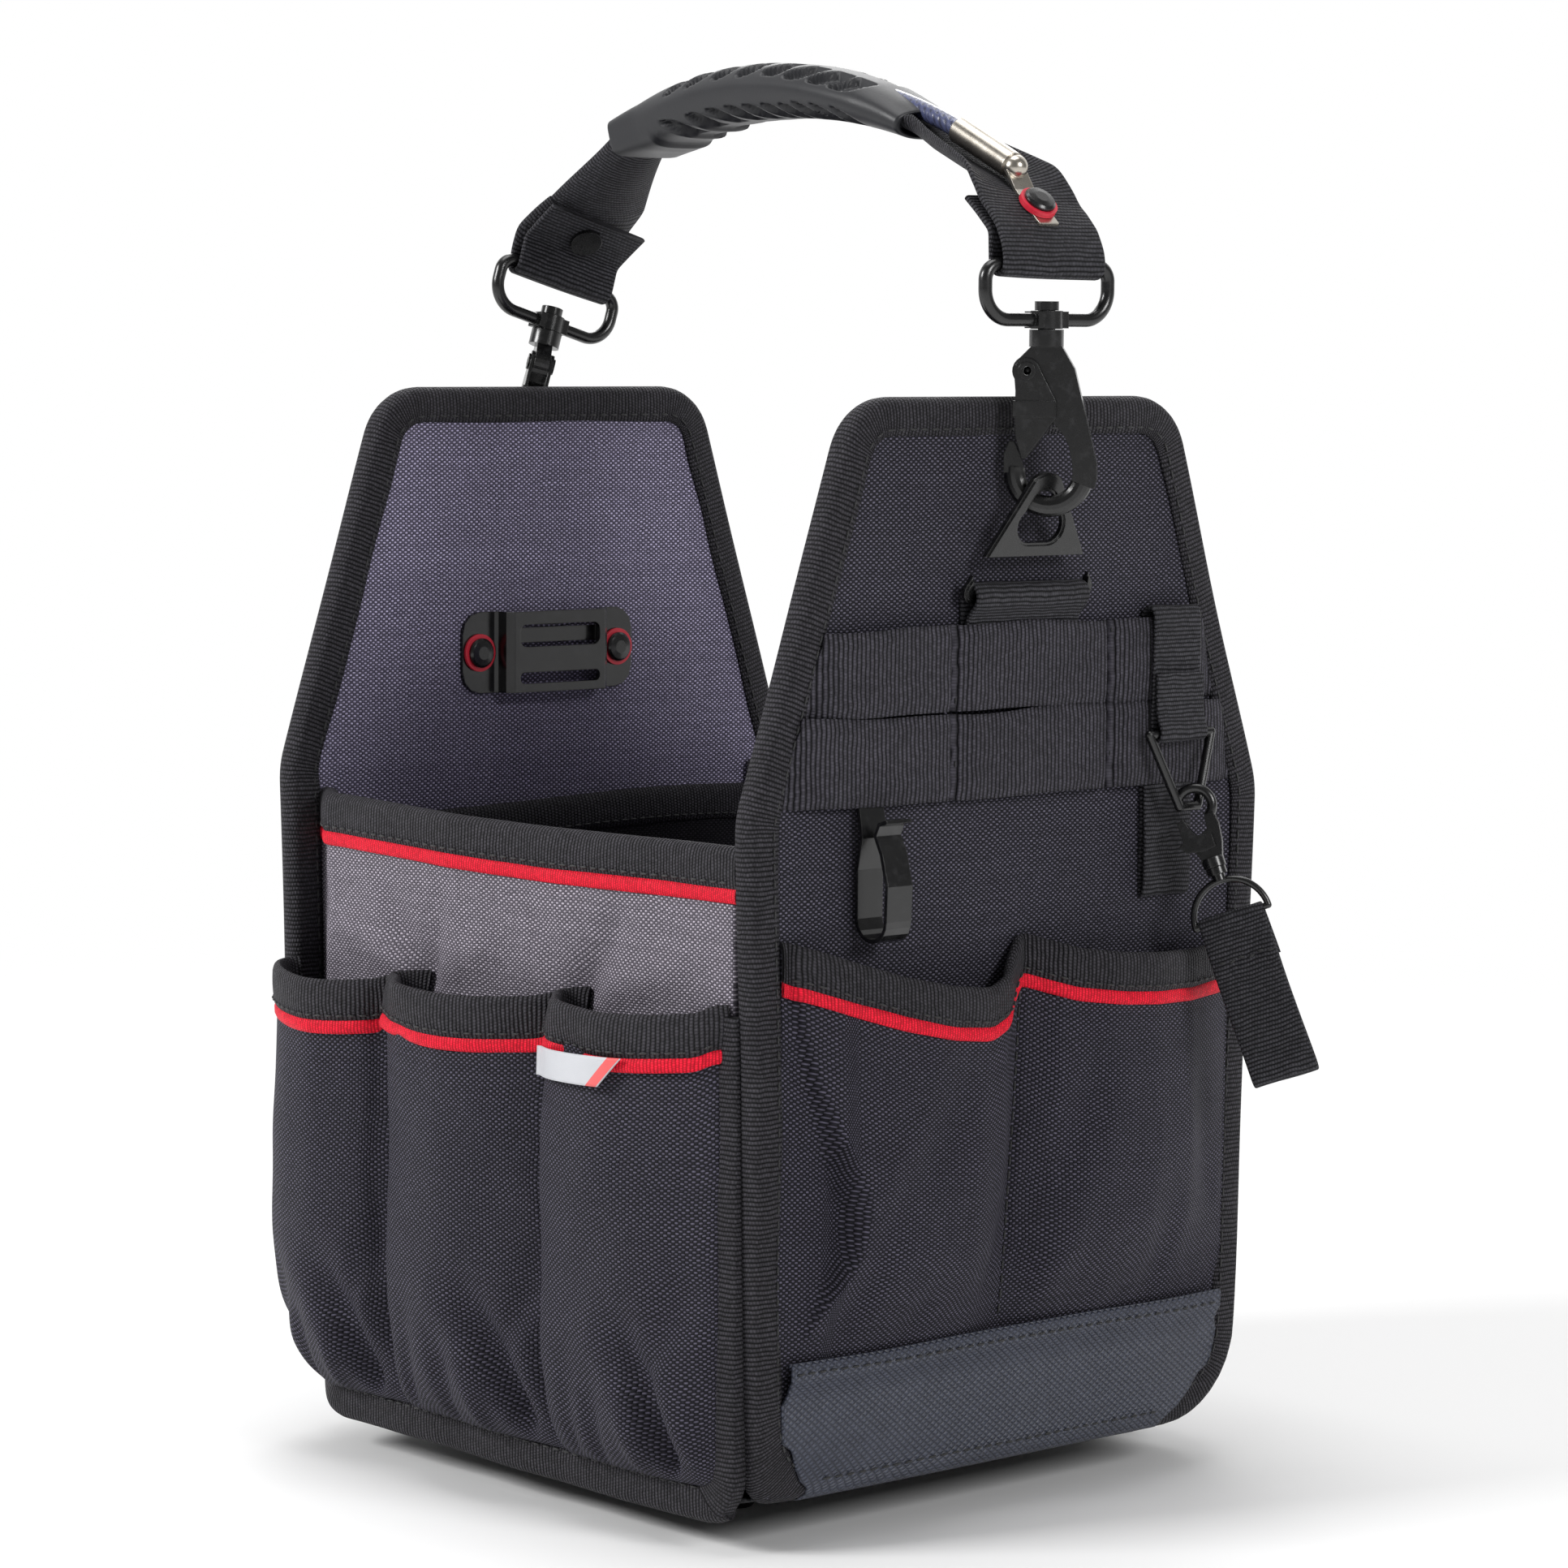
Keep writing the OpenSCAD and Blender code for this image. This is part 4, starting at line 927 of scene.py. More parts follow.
def wall_out(y, z, side):
    """how far the outer face stands beyond its nominal plane"""
    points = np.stack([0 * y, y, z], -1)
    free = np.cos(np.clip(y / WALL_END, -1, 1) * math.pi / 2) ** 0.8
    phase, seeds = (0.4, (41, 43)) if side < 0 else (1.7, (47, 49))
    out = free * (1.2 + 2.4 * np.sin(y / 38.0 + phase) * ease(z, 60, 200))
    # pulled in where the sleeves' seams end
    for seam_y in SLEEVE_SEAMS[1:3]:
        out = out - 2.4 * bell(y, seam_y, 9) * bell(z, 150, 16) * free
    for *line, depth, width in WALL_FOLDS:
        out = out - depth * crease(y, z, line, width, lead=(-6, 6), fade=(0.45, 1.05))
    return out + wander(points, seeds[0], 46, 0.7) * free + wander(points, seeds[1], 20, 0.16) * free


def wall_x(y, z, side):
    # the far end is sewn inside the far panel's tape
    return side * (WALL_X + wall_out(y, z, side) - 10.5 * ease(y, 84, WALL_END))


def wall_sheet(side):
    y = np.linspace(-WALL_END + 1.6, WALL_END + 2.0, 130)
    top, bottom = wall_top(y) - 1.2, wall_bottom(y, side) + 3.0
    z = bottom[:, None] + (top - bottom)[:, None] * np.linspace(0, 1, 110)[None, :]
    y = np.repeat(y[:, None], 110, 1)
    grid = np.stack([wall_x(y, z, side), y, z], -1)
    return slab(grid, 2.6, (side, 0, 0), uv=grid[..., [1, 2]])


def edge_tape(side, top):
    """tape folded over a wall's top or bottom edge: tape, stitches and frame for the piping"""
    y = np.linspace(-WALL_END, WALL_END, 190)
    if not top:
        y = np.linspace(-WALL_END + (9.0 if side > 0 else 3.0), WALL_END - 9.0, 190)
    z = wall_top(y) if top else wall_bottom(y, side)
    x = wall_x(y, z, side) - side * 1.5
    path = np.stack([x, y, z], 1)
    along = tangents(path)
    turn = 1 if top else -1
    inward = unit(np.stack([0 * y, along[:, 2], -along[:, 1]], 1)) * turn
    outward = unit(np.cross(along, inward)) * (-side * turn)
    # follow the wall's lean
    inner_x = wall_x(y + inward[:, 1] * WALL_TAPE, z + inward[:, 2] * WALL_TAPE, side) - side * 1.5
    inward = unit(inward + np.stack([(inner_x - x) / WALL_TAPE, 0 * y, 0 * y], 1))
    sections = wavy(tape_section(WALL_TAPE, 2.5, 0.95, 0.5), path,
                    (51 + (side > 0), 40, 0.4), (53, 18, 0.2))
    seam = path + inward * (WALL_TAPE - 2.0) + outward * 2.95
    return (sweep(path, inward, outward, sections), stitches(seam[2:-2], outward[2:-2]),
            (path, inward, outward))


def end_tape(side):
    low = float(wall_bottom(-WALL_END + 4, side)) + 1.0
    z = np.linspace(low, SLEEVE_RIM + 2.0, 110)
    y = -WALL_END - 1.2 + 6.0 * np.clip(1 - (z - low) / 12.0, 0, 1) ** 2.0
    path = np.stack([wall_x(y + 4, z, side) + side * 1.0, y, z], 1)
    along = tangents(path)
    across = unit(np.stack([0 * z, along[:, 2], -along[:, 1]], 1))
    outward = np.array([float(side), 0, 0])
    sections = np.repeat(END_TAPE[None], 110, 0)
    sections[..., 1] += wander(path, 57, 30, 0.25)[:, None]
    seam = path + across * 9.2 + outward * 1.75
    return sweep(path, across, outward, sections), stitches(seam[2:-2], outward)


SLEEVE_SEAMS = (102.0, 36.5, -36.5, -102.0)   # Y of the sleeves' seams, far to near
SIDE_NAMES = (("left", -1), ("right", 1))
piping, stitching = [], []
for name, side in SIDE_NAMES:
    make(name + "_wall_cloth", wall_sheet(side), WALL, [name + "_wall"])
    top_tape, top_stitch, (path, inward, outward) = edge_tape(side, top=True)
    bottom_tape, bottom_stitch, _ = edge_tape(side, top=False)
    piping.append(sweep(path, inward, outward, WALL_PIPING + [WALL_TAPE, 0]))
    stitching += [top_stitch, bottom_stitch]
    make(name + "_wall_tape", join([top_tape, bottom_tape]), BINDING,
         [name + "_wall_binding"])
end_tapes, end_stitches = zip(*(end_tape(side) for _, side in SIDE_NAMES))
make("wall_end_tape", join(end_tapes), BINDING)
make("wall_piping_tape", join(piping), PIPING, ["wall_piping"])
make("wall_tape_stitch", join(stitching + list(end_stitches)), THREAD)


# ------------------------------------------------------------------ tool sleeves
SLEEVE_FOOT = 19.5
# share of the sleeve's width, height over the foot (start, then end), depth, width
SLEEVE_FOLDS = [(0.78, 2, 0.52, 50, 5.0, 5.5), (0.93, 0, 0.74, 40, -2.6, 4.2),
                (0.30, 0, 0.36, 34, 2.2, 4.5), (0.10, 4, 0.20, 44, 1.6, 4.5),
                (0.52, 0, 0.50, 26, -1.6, 4.5), (0.72, 34, 0.95, 66, 1.6, 6.0)]


def sleeve_plan(k, width, depth, lap):
    """plan of sleeve k: distance towards the next sleeve, distance out"""
    back = 1.0 if k == 1 else 0.25   # how strongly its near half falls back to the wall
    if k == 0:
        # the far sleeve comes away from the wall in one long round
        plan = [(0, 0.4), (-0.6, 4.5), (0.8, 9.0), (5.0, 13.6), (12, 17.4), (21, 20.0),
                (width * 0.48, 20.8), (width * 0.62, 18.2), (width * 0.76, 13.6),
                (width - 11.5, 9.0), (width - 6.0, 5.0), (width - 2.6, 2.3), (width - 0.5, 0.4)]
    else:
        plan = [(0, 0.4), (-lap * 0.8, 4.5), (-lap, 9.5), (-lap * 0.25, 14.6), (5.5, 18.0),
                (15, 20.2), (width * 0.40, 21.0), (width * 0.58, 19.4 - 0.8 * back),
                (width * 0.72, 16.8 - 2.6 * back), (width - 11.5, 13.4 - 4.2 * back),
                (width - 6.0, 9.2 - 4.0 * back), (width - 2.6, 4.4 - 2.0 * back),
                (width - 0.5, 0.4)]
    plan = np.array(plan, float)
    plan[:, 1] = 0.4 + (plan[:, 1] - 0.4) * depth / 20
    return plan


def sleeve(k, side):
    """grid of one sleeve, rim in the last column; k = 0 far, 1 middle, 2 near"""
    far_seam, near_seam = SLEEVE_SEAMS[k:k + 2]
    width = far_seam - near_seam
    rim = SLEEVE_RIM + (-1.6, 0.6, 2.6)[k]
    foot = SLEEVE_FOOT
    nu, nv = 84, 96
    random = np.random.RandomState(60 + k + (10 if side > 0 else 0))
    across, out, z = np.zeros((3, nu, nv))
    for j, t in enumerate(np.linspace(0, 1, nv) ** 1.25):
        height = foot + (rim - foot) * t
        share = min(1.0, (height - foot) / 46.0)
        rounded = math.sqrt(max(0.0, 1 - (1 - share) ** 2))
        depth = SLEEVE_DEPTH * (0.06 + 0.94 * rounded) * (1.02 + 0.04 * math.sin(height / 23.0 + k))
        lap = 4.8 * ease(height, foot + 4, foot + 52) + 0.4
        plan = catmull(sleeve_plan(k, width, depth, lap), nu)
        across[:, j], out[:, j] = plan.T
        z[:, j] = height
    front = ease(out, 3, 9)
    # gathers at the foot and soft buckles on the front
    fold = 0
    for start, start_z, end, end_z, depth, fold_width in SLEEVE_FOLDS:
        start = width * start + random.uniform(-3, 3)
        end = width * end + random.uniform(-4, 4)
        depth *= random.uniform(1.15, 1.6)
        fold = fold + depth * crease(across, z, (start, foot + start_z, end, foot + end_z),
                                     fold_width, lead=(-8, 6), fade=(0.5, 1.15), spread=True)
    points = np.stack([across, z, 0 * across], -1)
    fold = fold + (wander(points, 70 + k + (7 if side > 0 else 0), 60, 1.0) * ease(rim - z, 4, 30)
                   + wander(points, 80 + k, 24, 0.22))
    out = out - fold * front
    across = across + 1.2 * wander(points, 90 + k, 70, 0.8) * front
    # the rim sags in the middle and lifts at its near end
    sag = (1.8 * np.sin(np.pi * np.clip(across / width, 0, 1)) ** 1.5
           - 2.2 * (1 - front) * (across > width * 0.5))
    z = z - sag * ease(z, rim - 60, rim)
    # the foot follows the wall's bottom edge
    low = np.maximum(18.0, wall_bottom(far_seam - across[:, 0], side) + 10.5)
    z = rim - (rim - z) * ((rim - low) / (rim - foot))[:, None]
    y = far_seam - across
    return np.stack([side * (WALL_X + wall_out(y, z, side) + 0.3 + out), y, z], -1)


def rim_trim(grid, facing, height):
    """over the rim (last column) of a grid: folded tape, its stitches, piping below it"""
    normals, _ = normals_facing(grid, facing)
    out = unit(fair(normals[:, -2]))
    down = unit(grid[:, -8] - grid[:, -1])
    down = unit(down - out * np.sum(down * out, 1, keepdims=True))
    path = fair(grid[:, -1]) - out * 0.55 - down * 0.3
    section = tape_section(height, 1.55, 0.9, 0.45)
    sections = np.repeat(section[None], len(path), 0)
    sections[..., 0] += wander(path, 101, 26, 0.3)[:, None] * (section[:, 0] > height * 0.7)
    seam = path + down * (height - 1.9) + out * 1.98
    return (sweep(path, down, out, sections),
            stitches(seam[2:-2], out[2:-2], length=2.6, gap=1.3, radius=0.3),
            sweep(path, down, out, RIM_PIPING + [height, 0]))


piping, pocket_stitching = [], []
for name, side in SIDE_NAMES:
    grids = [sleeve(k, side) for k in range(3)]
    facing = (side, 0, 0)
    tapes, threads, pipes = zip(*(rim_trim(grid, facing, 12.5) for grid in grids))
    make(name + "_sleeve_cloth", join([slab(grid, 1.15, facing) for grid in grids]), POCKET,
         [name + "_sleeves"])
    make(name + "_sleeve_tape", join(tapes), BINDING,
         [name + "_sleeve_binding"])
    pocket_stitching += threads
    piping += pipes
make("sleeve_piping_tape", join(piping), PIPING, ["sleeve_piping"])


# ------------------------------------------------------------------ pockets on the end panels
POCKET_HALF = half_width(110) - 9.5
# x and rim height, for a rim at 165
POCKET_RIM_LINE = [
    (-POCKET_HALF, 174.8), (-84, 172.6), (-72, 168.4), (-56, 163.4), (-38, 159.4), (-22, 157.6),
    (-10, 160.8), (-3, 167.6), (1.0, 171.0), (5, 169.4), (16, 165.8), (32, 163.6), (48, 162.4),
    (64, 161.8), (78, 162.0), (POCKET_HALF, 162.6)]
# x and stand-out of the rim, for a pocket 15 deep
POCKET_RIM_OUT = [
    (-POCKET_HALF, 2.0), (-86, 5.0), (-78, 9.0), (-62, 12.8), (-44, 14.6), (-26, 14.4),
    (-13, 11.0), (-5, 5.0), (1.0, 1.6), (5, 4.4), (12, 9.4), (28, 13.2), (46, 13.8),
    (64, 11.8), (78, 6.8), (POCKET_HALF, 2.0)]
# x and height over the foot (start, then end), depth, width
POCKET_FOLDS = [
    (-70, 4, -58, 46, 2.4, 5.5), (-8, 4, -20, 60, 2.0, 6.0), (-26, 88, -60, 44, 1.8, 8.0),
    (-44, 0, -40, 26, 1.4, 5.0), (-74, 44, -40, 74, -1.6, 7.0), (8, 6, 22, 64, -1.8, 7.0),
    (4, 40, 30, 92, 1.8, 7.0), (60, 0, 52, 40, 1.8, 6.0), (80, 30, 66, 84, 1.6, 6.5),
    (36, 0, 34, 24, -1.0, 5.0)]


def pocket(side):
    """both bays in one piece of cloth; returns rim stitches, piping and seam stitches"""
    sign = END_SIGN[side]
    nu, nv = 210, 100
    left, right, foot = -POCKET_HALF, POCKET_HALF, BAND_TOP - 4
    flat_x = left + (right - left) * np.linspace(0, 1, nu)
    line_x, line_z = np.array(POCKET_RIM_LINE).T
    rim_z = fair(np.interp(flat_x, line_x, line_z + (POCKET_RIM - 165.0)), 5)[:, None]
    out_x, out_y = np.array(POCKET_RIM_OUT).T
    rim_out = fair(np.interp(flat_x, out_x, out_y * POCKET_DEPTH / 15.0), 5)[:, None]
    flat_x = flat_x[:, None]
    v = np.linspace(0, 1, nv)
    z = foot + (rim_z - foot) * v
    # the seam between the bays slants: columns shift so that one stays on it
    seam = -5.0 + 6.0 * v
    x = flat_x + (seam - 1.0) * np.exp(-((flat_x - 1.0) / 30.0) ** 2)
    out = rim_out * (0.10 + 0.90 * ease(z, foot - 2, foot + 34))
    # each bay bellies below the rim
    right_bay = np.sin(np.pi * np.clip((x - seam) / (right - seam), 0, 1))
    left_bay = np.sin(np.pi * np.clip((seam - x) / (seam - left), 0, 1))
    out = out + 2.6 * bell(z, foot + 58, 34) * right_bay + 2.4 * bell(z, foot + 56, 36) * left_bay
    # the seam is drawn tight against the panel
    off = np.abs(x - seam)
    out = np.minimum(out, 0.8 + 13.5 * (1 - np.exp(-(off / 6.5) ** 1.15)) + 2.0 * ease(off, 8, 30))
    # -X gusset: its fold swings in at the middle of the height
    fold_x = left + 4 + 17 * np.exp(-((z.mean(0) - 92) / 34.0) ** 2)
    gusset = (1.0 + 1.2 * ease(x, left, fold_x) + 13.0 * ease(x, fold_x - 2.5, fold_x + 4.5)
              + 4 * ease(x, fold_x, fold_x + 22))
    out = np.minimum(out, gusset)
    # +X edge
    out = np.minimum(out, 1.2 + 11 * ease(right - x, 0, 13) + 4 * ease(right - x, 8, 26))
    for x0, z0, x1, z1, depth, width in POCKET_FOLDS:
        fold = crease(x, z, (x0, foot + z0, x1, foot + z1), width, lead=(-8, 8), fade=(0.5, 1.15))
        out = out - depth * fold * ease(out, 1.5, 6)
    points = np.stack([x, z, 0 * x], -1)
    waves = wander(points, 121 if sign < 0 else 131, 55, 0.9) + wander(points, 122, 22, 0.2)
    out = np.maximum(out + waves * ease(out, 2, 7), 0.55)
    grid = np.stack([x, sign * (PANEL_OUT + out) + bow(side, x, z), z], -1)
    facing = (0, sign, 0)
    make(side + "_pocket_cloth", slab(grid, 1.15, facing), POCKET,
         [side + "_pocket"])
    tape, rim_stitch, pipe = rim_trim(grid, facing, 11.5)
    make(side + "_pocket_tape", tape, BINDING, [side + "_pocket_binding"])
    rows = np.arange(6, nv - 10)
    columns = np.argmin(np.abs(x - seam), axis=0)[rows]
    seam_stitch = stitches(fair(grid[columns, rows], 6), facing, lift=0.35)
    return rim_stitch, pipe, seam_stitch


piping = []
for side in END_SIGN:
    rim_stitch, pipe, seam_stitch = pocket(side)
    pocket_stitching += [rim_stitch, seam_stitch]
    piping.append(pipe)
make("end_pocket_piping_tape", join(piping), PIPING, ["end_pocket_piping"])
make("pocket_stitch", join(pocket_stitching), THREAD)


# ------------------------------------------------------------------ inner pocket and floor
def inner_pocket():
    """flat pocket on the inside of the far panel"""
    half, foot = 88.0, 17.5
    top = node_box("inner_pocket_binding")[1][2]
    x = np.linspace(-half, half, 110)[:, None]
    v = np.linspace(0, 1, 80)
    z = foot + (top - foot + 1.2 * np.cos(x / half * 1.4) - 1.6 + 1.2 * np.sin(x / 31.0)) * v
    x = np.repeat(x, 80, 1)
    points = np.stack([x, 0 * x, z], -1)
    out = ((1.2 + 5.6 * np.cos(x / half * math.pi / 2) ** 0.45)
           * (0.5 + 0.5 * ease(z, foot, foot + 50)))
    waves = wander(points, 141, 60, 1.1) + wander(points, 142, 25, 0.25)
    out = out + waves * ease(out, 1.5, 4)
    grid = np.stack([x, PANEL_IN - out + bow("far", x, z), z], -1)
    make("inner_pocket_cloth", slab(grid, 1.1, (0, -1, 0)), INNER,
         ["inner_pocket"])
    tape, stitch, _ = rim_trim(grid, (0, -1, 0), 11.5)
    make("inner_pocket_tape", tape, BINDING, ["inner_pocket_binding"])
    make("inner_pocket_stitch", stitch, THREAD)


def base_sheet(inset, level, thick, ripple):
    """floor sheet that turns up at the corners with the walls' bottom edges"""
    low, high = node_box("base_fabric")
    nx, ny = 60, 90
    y = np.linspace(low[1] + 1.0 + inset, high[1] - 1.0 - inset, ny)
    half = high[0] + 0.9 - inset - 10.5 * ease(y, 84, WALL_END)
    x, z = np.zeros((2, nx, ny))
    for i, t in enumerate(np.linspace(-1, 1, nx)):
        x[i] = t * half
        turned_up = np.clip((abs(t) * half - (half - 36.0)) / 36.0, 0, 1) ** 2
        z[i] = level + wall_rise(y, 1 if t > 0 else -1) * turned_up
    y = np.repeat(y[None], nx, 0)
    z = z + ripple * np.sin(x / 23.0) * np.sin(y / 27.0)
    grid = np.stack([x, y, z], -1)
    return slab(grid, thick, (0, 0, -1), uv=grid[..., [0, 1]])


inner_pocket()
make("base_cloth", base_sheet(0.0, node_box("base_fabric")[0][2] + 0.35, 0.8, ripple=0.35),
     BASE, ["base_fabric"])
board_low, board_high = node_box("base_board")
make("base_board_sheet", base_sheet(0.4, board_high[2], board_high[2] - board_low[2], ripple=0),
     BOARD, ["base_board"])


# ------------------------------------------------------------------ webbing rows, near panel
def webbing_rows():
    """two rows of webbing, sewn down at two columns so that they stand off in three loops"""
    columns = (-27.6, 36.0)
    stand_off = 3.5
    low, high = (corner[2] for corner in node_box("loop_webbing"))
    middle = (low + high) / 2
    parts, threads = [], []
    t = np.linspace(0, 1, 20)
    for k, (z0, z1) in enumerate(((low - 0.3, middle - 0.15), (middle + 0.15, high))):
        half = half_width(z0 + (z1 - z0) * t) - 9.8
        x = np.linspace(-1, 1, 200)[:, None] * half
        z = np.repeat((z0 + (z1 - z0) * t)[None], 200, 0)
        z = z + ((0.55 * np.sin(x / 19.0 + 2.0 * k) + 0.35 * np.sin(x / 7.7 + k))
                 * (0.4 + 0.6 * t[None]))
        ends = (-half.mean(), *columns, half.mean())
        loop = np.zeros_like(x)
        for a, b in zip(ends[:-1], ends[1:]):
            # slow rise at the panel's edges, quick rise at the stitching
            run_a = 6.0 if a == ends[0] else 1.1
            run_b = 6.0 if b == ends[-1] else 1.1
            arch = ((1 - np.exp(-np.maximum(0, x - a) / run_a))
                    * (1 - np.exp(-np.maximum(0, b - x) / run_b)))
            loop = np.where((x >= a) & (x <= b), arch, loop)
        out = 1.0 + stand_off * loop
        # creases beside the stitch lines
        for column in columns:
            out = (out - 0.35 * bell(x, column + 4, 1.6)
                   - (0.05 if column < 0 else 0.30) * bell(x, column - 4.5, 1.8)
                   + 0.2 * bell(x, column + 9, 3))
        out = (out + wander(np.stack([x, z, 0 * x], -1), 151 + k, 26, 0.22)
               - 0.5 * bell(t, 0, 0.08) - 0.5 * bell(t, 1, 0.08))
        grid = np.stack([x, -(PANEL_OUT + out) + bow("near", x, z), z], -1)
        parts.append(slab(grid, 1.25, (0, -1, 0), uv=grid[..., [0, 2]]))
        for column in columns:
            for offset in (-1.6, 1.4):
                line_z = np.linspace(z0 + 1.0, z1 - 1.0, 30)
                line_x = column + offset + 0.25 * np.sin(line_z / 3.0)
                rise = 1.0 + stand_off * np.sin(np.pi * abs(offset) / 60) ** 0.42
                line_y = -(PANEL_OUT + rise + 0.25) + bow("near", line_x, line_z)
                threads.append(stitches(np.stack([line_x, line_y, line_z], 1), (0, -1, 0),
                                        length=2.4, gap=1.2, radius=0.36, lift=0.3))
    make("webbing_rows", join(parts), WEBBING, ["loop_webbing"])
    make("webbing_row_stitch", join(threads), THREAD)


webbing_rows()


# ------------------------------------------------------------------ straps
def strap(name, path, across, width, thick, replaced, seed, body="bag", crown=0.15, wave=0.25,
          columns=13, count=None, curl=0.0):
    """webbing along a path; width, thick and curl may be functions of the share of its length"""
    path = np.asarray(path, float)
    path = fair(resample(path, count or max(30, int(lengths(path)[-1] / 1.3))))
    along = tangents(path)
    across = np.asarray(across, float)
    if across.ndim == 1:
        across = np.repeat(across[None], len(path), 0)
    else:
        across = resample(across, len(path))
    across = unit(across - along * np.sum(across * along, 1, keepdims=True))
    sections = []
    s = lengths(path)
    for place in s:
        share = place / s[-1]
        wide, high, bend = (value(share) if callable(value) else value
                            for value in (width, thick, curl))
        section = flat_section(wide, high, columns, crown)
        x = section[:, 0] / (wide / 2)
        section[:, 1] += (wave * np.sin(x * 2.3 + place / 17.0 + seed)
                          * (1 - abs(2 * share - 1) ** 4))
        section[:, 1] += bend * np.abs(x) ** 2.4
        section[:, 0] += 0.3 * math.sin(place / 11.0 + seed)
        sections.append(section)
    part = sweep(path, across, unit(np.cross(along, across)), np.array(sections))
    make(name, part, HEAVY_WEBBING, replaced, body)


def eye_strap(side):
    """strap up the panel, round the eye's bar and down again"""
    sign = END_SIGN[side]
    low = node_box(side + "_eye_strap")[0][2]
    bar = joint_pos(side + "_eye_tilt")
    bar_y, bar_z = abs(bar[1]), bar[2]
    # distance from the middle along Y, height
    profile = [(PANEL_OUT + 0.85, low), (PANEL_OUT + 0.85, bar_z - 2.2)]
    profile += arc((bar_y, bar_z), 3.45, 180, 0, 12)
    profile += [(PANEL_OUT + 7.5, bar_z - 1.8), (PANEL_OUT + 3.1, bar_z - 5.9),
                (PANEL_OUT + 2.4, bar_z - 7.5), (PANEL_OUT + 2.4, low)]
    strap(side + "_eye_webbing", [[0, sign * y, z] for y, z in profile], (1, 0, 0), 45.6, 1.5,
          [side + "_eye_strap"], seed=3 + sign, wave=0.12)


def far_strap_stitch():
    """box with both diagonals at the foot of the far strap"""
    low = node_box("far_eye_strap")[0][2]
    bottom, top = low + 2, low + 27
    y = PANEL_OUT + 2.4 + 0.75 + 0.15
    box = [(-20, bottom), (20, bottom), (20, top), (-20, top), (-20, bottom), (20, top)]
    diagonal = [(20, bottom), (-20, top)]
    parts = [stitches(resample([[x, y, z] for x, z in line], count), (0, 1, 0), lift=0.1)
             for line, count in ((box, 160), (diagonal, 60))]
    make("far_strap_stitch", join(parts), THREAD)


def key_strap():
    """narrow strap on the near panel that holds the key ring's bar"""
    low, high = node_box("key_strap")
    _, bar_y, bar_z = joint_pos("key_ring_tilt") * [1, -1, 1]
    face, foot, top = PANEL_OUT, low[2], high[2]
    profile = [(face + 2.6, bar_z - 13.5), (face + 3.4, foot + 16), (face + 2.9, foot + 4),
               (face + 1.7, foot + 0.6), (face + 0.7, foot + 4), (face + 0.85, foot + 20),
               (face + 0.85, top - 3.6)]
    profile += arc((face + 3.3, top - 3.0), 2.45, 180, 0, 9)
    profile += [(face + 5.75, top - 5), (face + 5.9, bar_z + 10), (face + 5.75, bar_z + 5)]
    profile += arc((bar_y, bar_z), 2.25, 160, 380, 12)
    profile += [(face + 7.7, bar_z + 5.5), (face + 7.2, bar_z + 18)]
    middle = (low[0] + high[0]) / 2
    strap("key_strap_webbing", [[middle, -y, z] for y, z in profile], (1, 0, 0),
          high[0] - low[0], 1.1, ["key_strap"], seed=9, wave=0.2, columns=9, crown=0.05)


def key_tail():
    """webbing loop below the key swivel, laid out in the tail's own frame"""
    origin = joint_pos("key_tail_tilt")
    x_dir, z_dir = joint_axis("key_tail_tilt"), joint_axis("key_swivel_turn")
    y_dir = np.cross(z_dir, x_dir)
    profile = [(1.9, -14.4), (1.7, -2.4)] + arc((0, 0), 1.85, -30, 210, 12)
    profile += [(-1.9, -5.4), (-2.3, -15.4), (-3.8, -29.4), (-4.0, -45.4)]
    profile += arc((-0.8, -47.4), 3.1, 180, 350, 9)
    profile += [(2.6, -43.4), (2.1, -29.4), (0.7, -17.4), (0.2, -6.9)]
    strap("key_tail_webbing", [origin + y_dir * y + z_dir * z for y, z in profile], x_dir, 20.0,
          1.15, ["key_loop"], seed=2, body="key_tail", columns=9, crown=0.05)
    seam = [origin + x_dir * x + y_dir * (-2.75) + z_dir * (-12.5 - 0.4 * math.sin(x))
            for x in np.linspace(-9, 9, 24)]
    make("key_tail_stitch", stitches(seam, -y_dir, length=2.2, gap=0.9), THREAD,
         body="key_tail")


for side in END_SIGN:
    eye_strap(side)
far_strap_stitch()
key_strap()
key_tail()

# ------------------------------------------------------------------ handle
# The handle's plane runs from the near snap hook to the far one; its places are (distance from
# the near hook, height). Places on the far hook are in that hook's own leaning frame.
near_hook = joint_pos("near_snap_swivel")
far_hook = joint_pos("far_snap_swivel")
far_up = joint_axis("far_snap_swivel")
ring_top = node_box("near_swivel_ring")[1][2]
wire_r = ring_top - near_hook[2] - 66.0
if abs(wire_r - 2.0) < 0.6:
    wire_r = 2.0
BAR_RISE = ring_top - wire_r - near_hook[2]   # from a hook's pivot to its ring's bar
NEAR_BAR = near_hook[2] + BAR_RISE
reach = (far_hook + far_up * BAR_RISE - near_hook) * [1, 1, 0]
HANDLE_DIR = reach / np.linalg.norm(reach)
HANDLE_ACROSS = np.array([HANDLE_DIR[1], -HANDLE_DIR[0], 0])
far_lean = math.atan2(far_up[0], far_up[2])
LEAN = np.array([[math.cos(far_lean), 0, math.sin(far_lean)], [0, 1, 0],
                 [-math.sin(far_lean), 0, math.cos(far_lean)]])
FAR_DIR, FAR_ACROSS = LEAN @ HANDLE_DIR, LEAN @ HANDLE_ACROSS
ARCH_CENTRE = (127.7, 194.0)


def handle_point(distance, z):
    return np.array([near_hook[0], near_hook[1], 0]) + HANDLE_DIR * distance + UP * z


def far_point(distance, z):
    return far_hook + FAR_DIR * distance + far_up * z


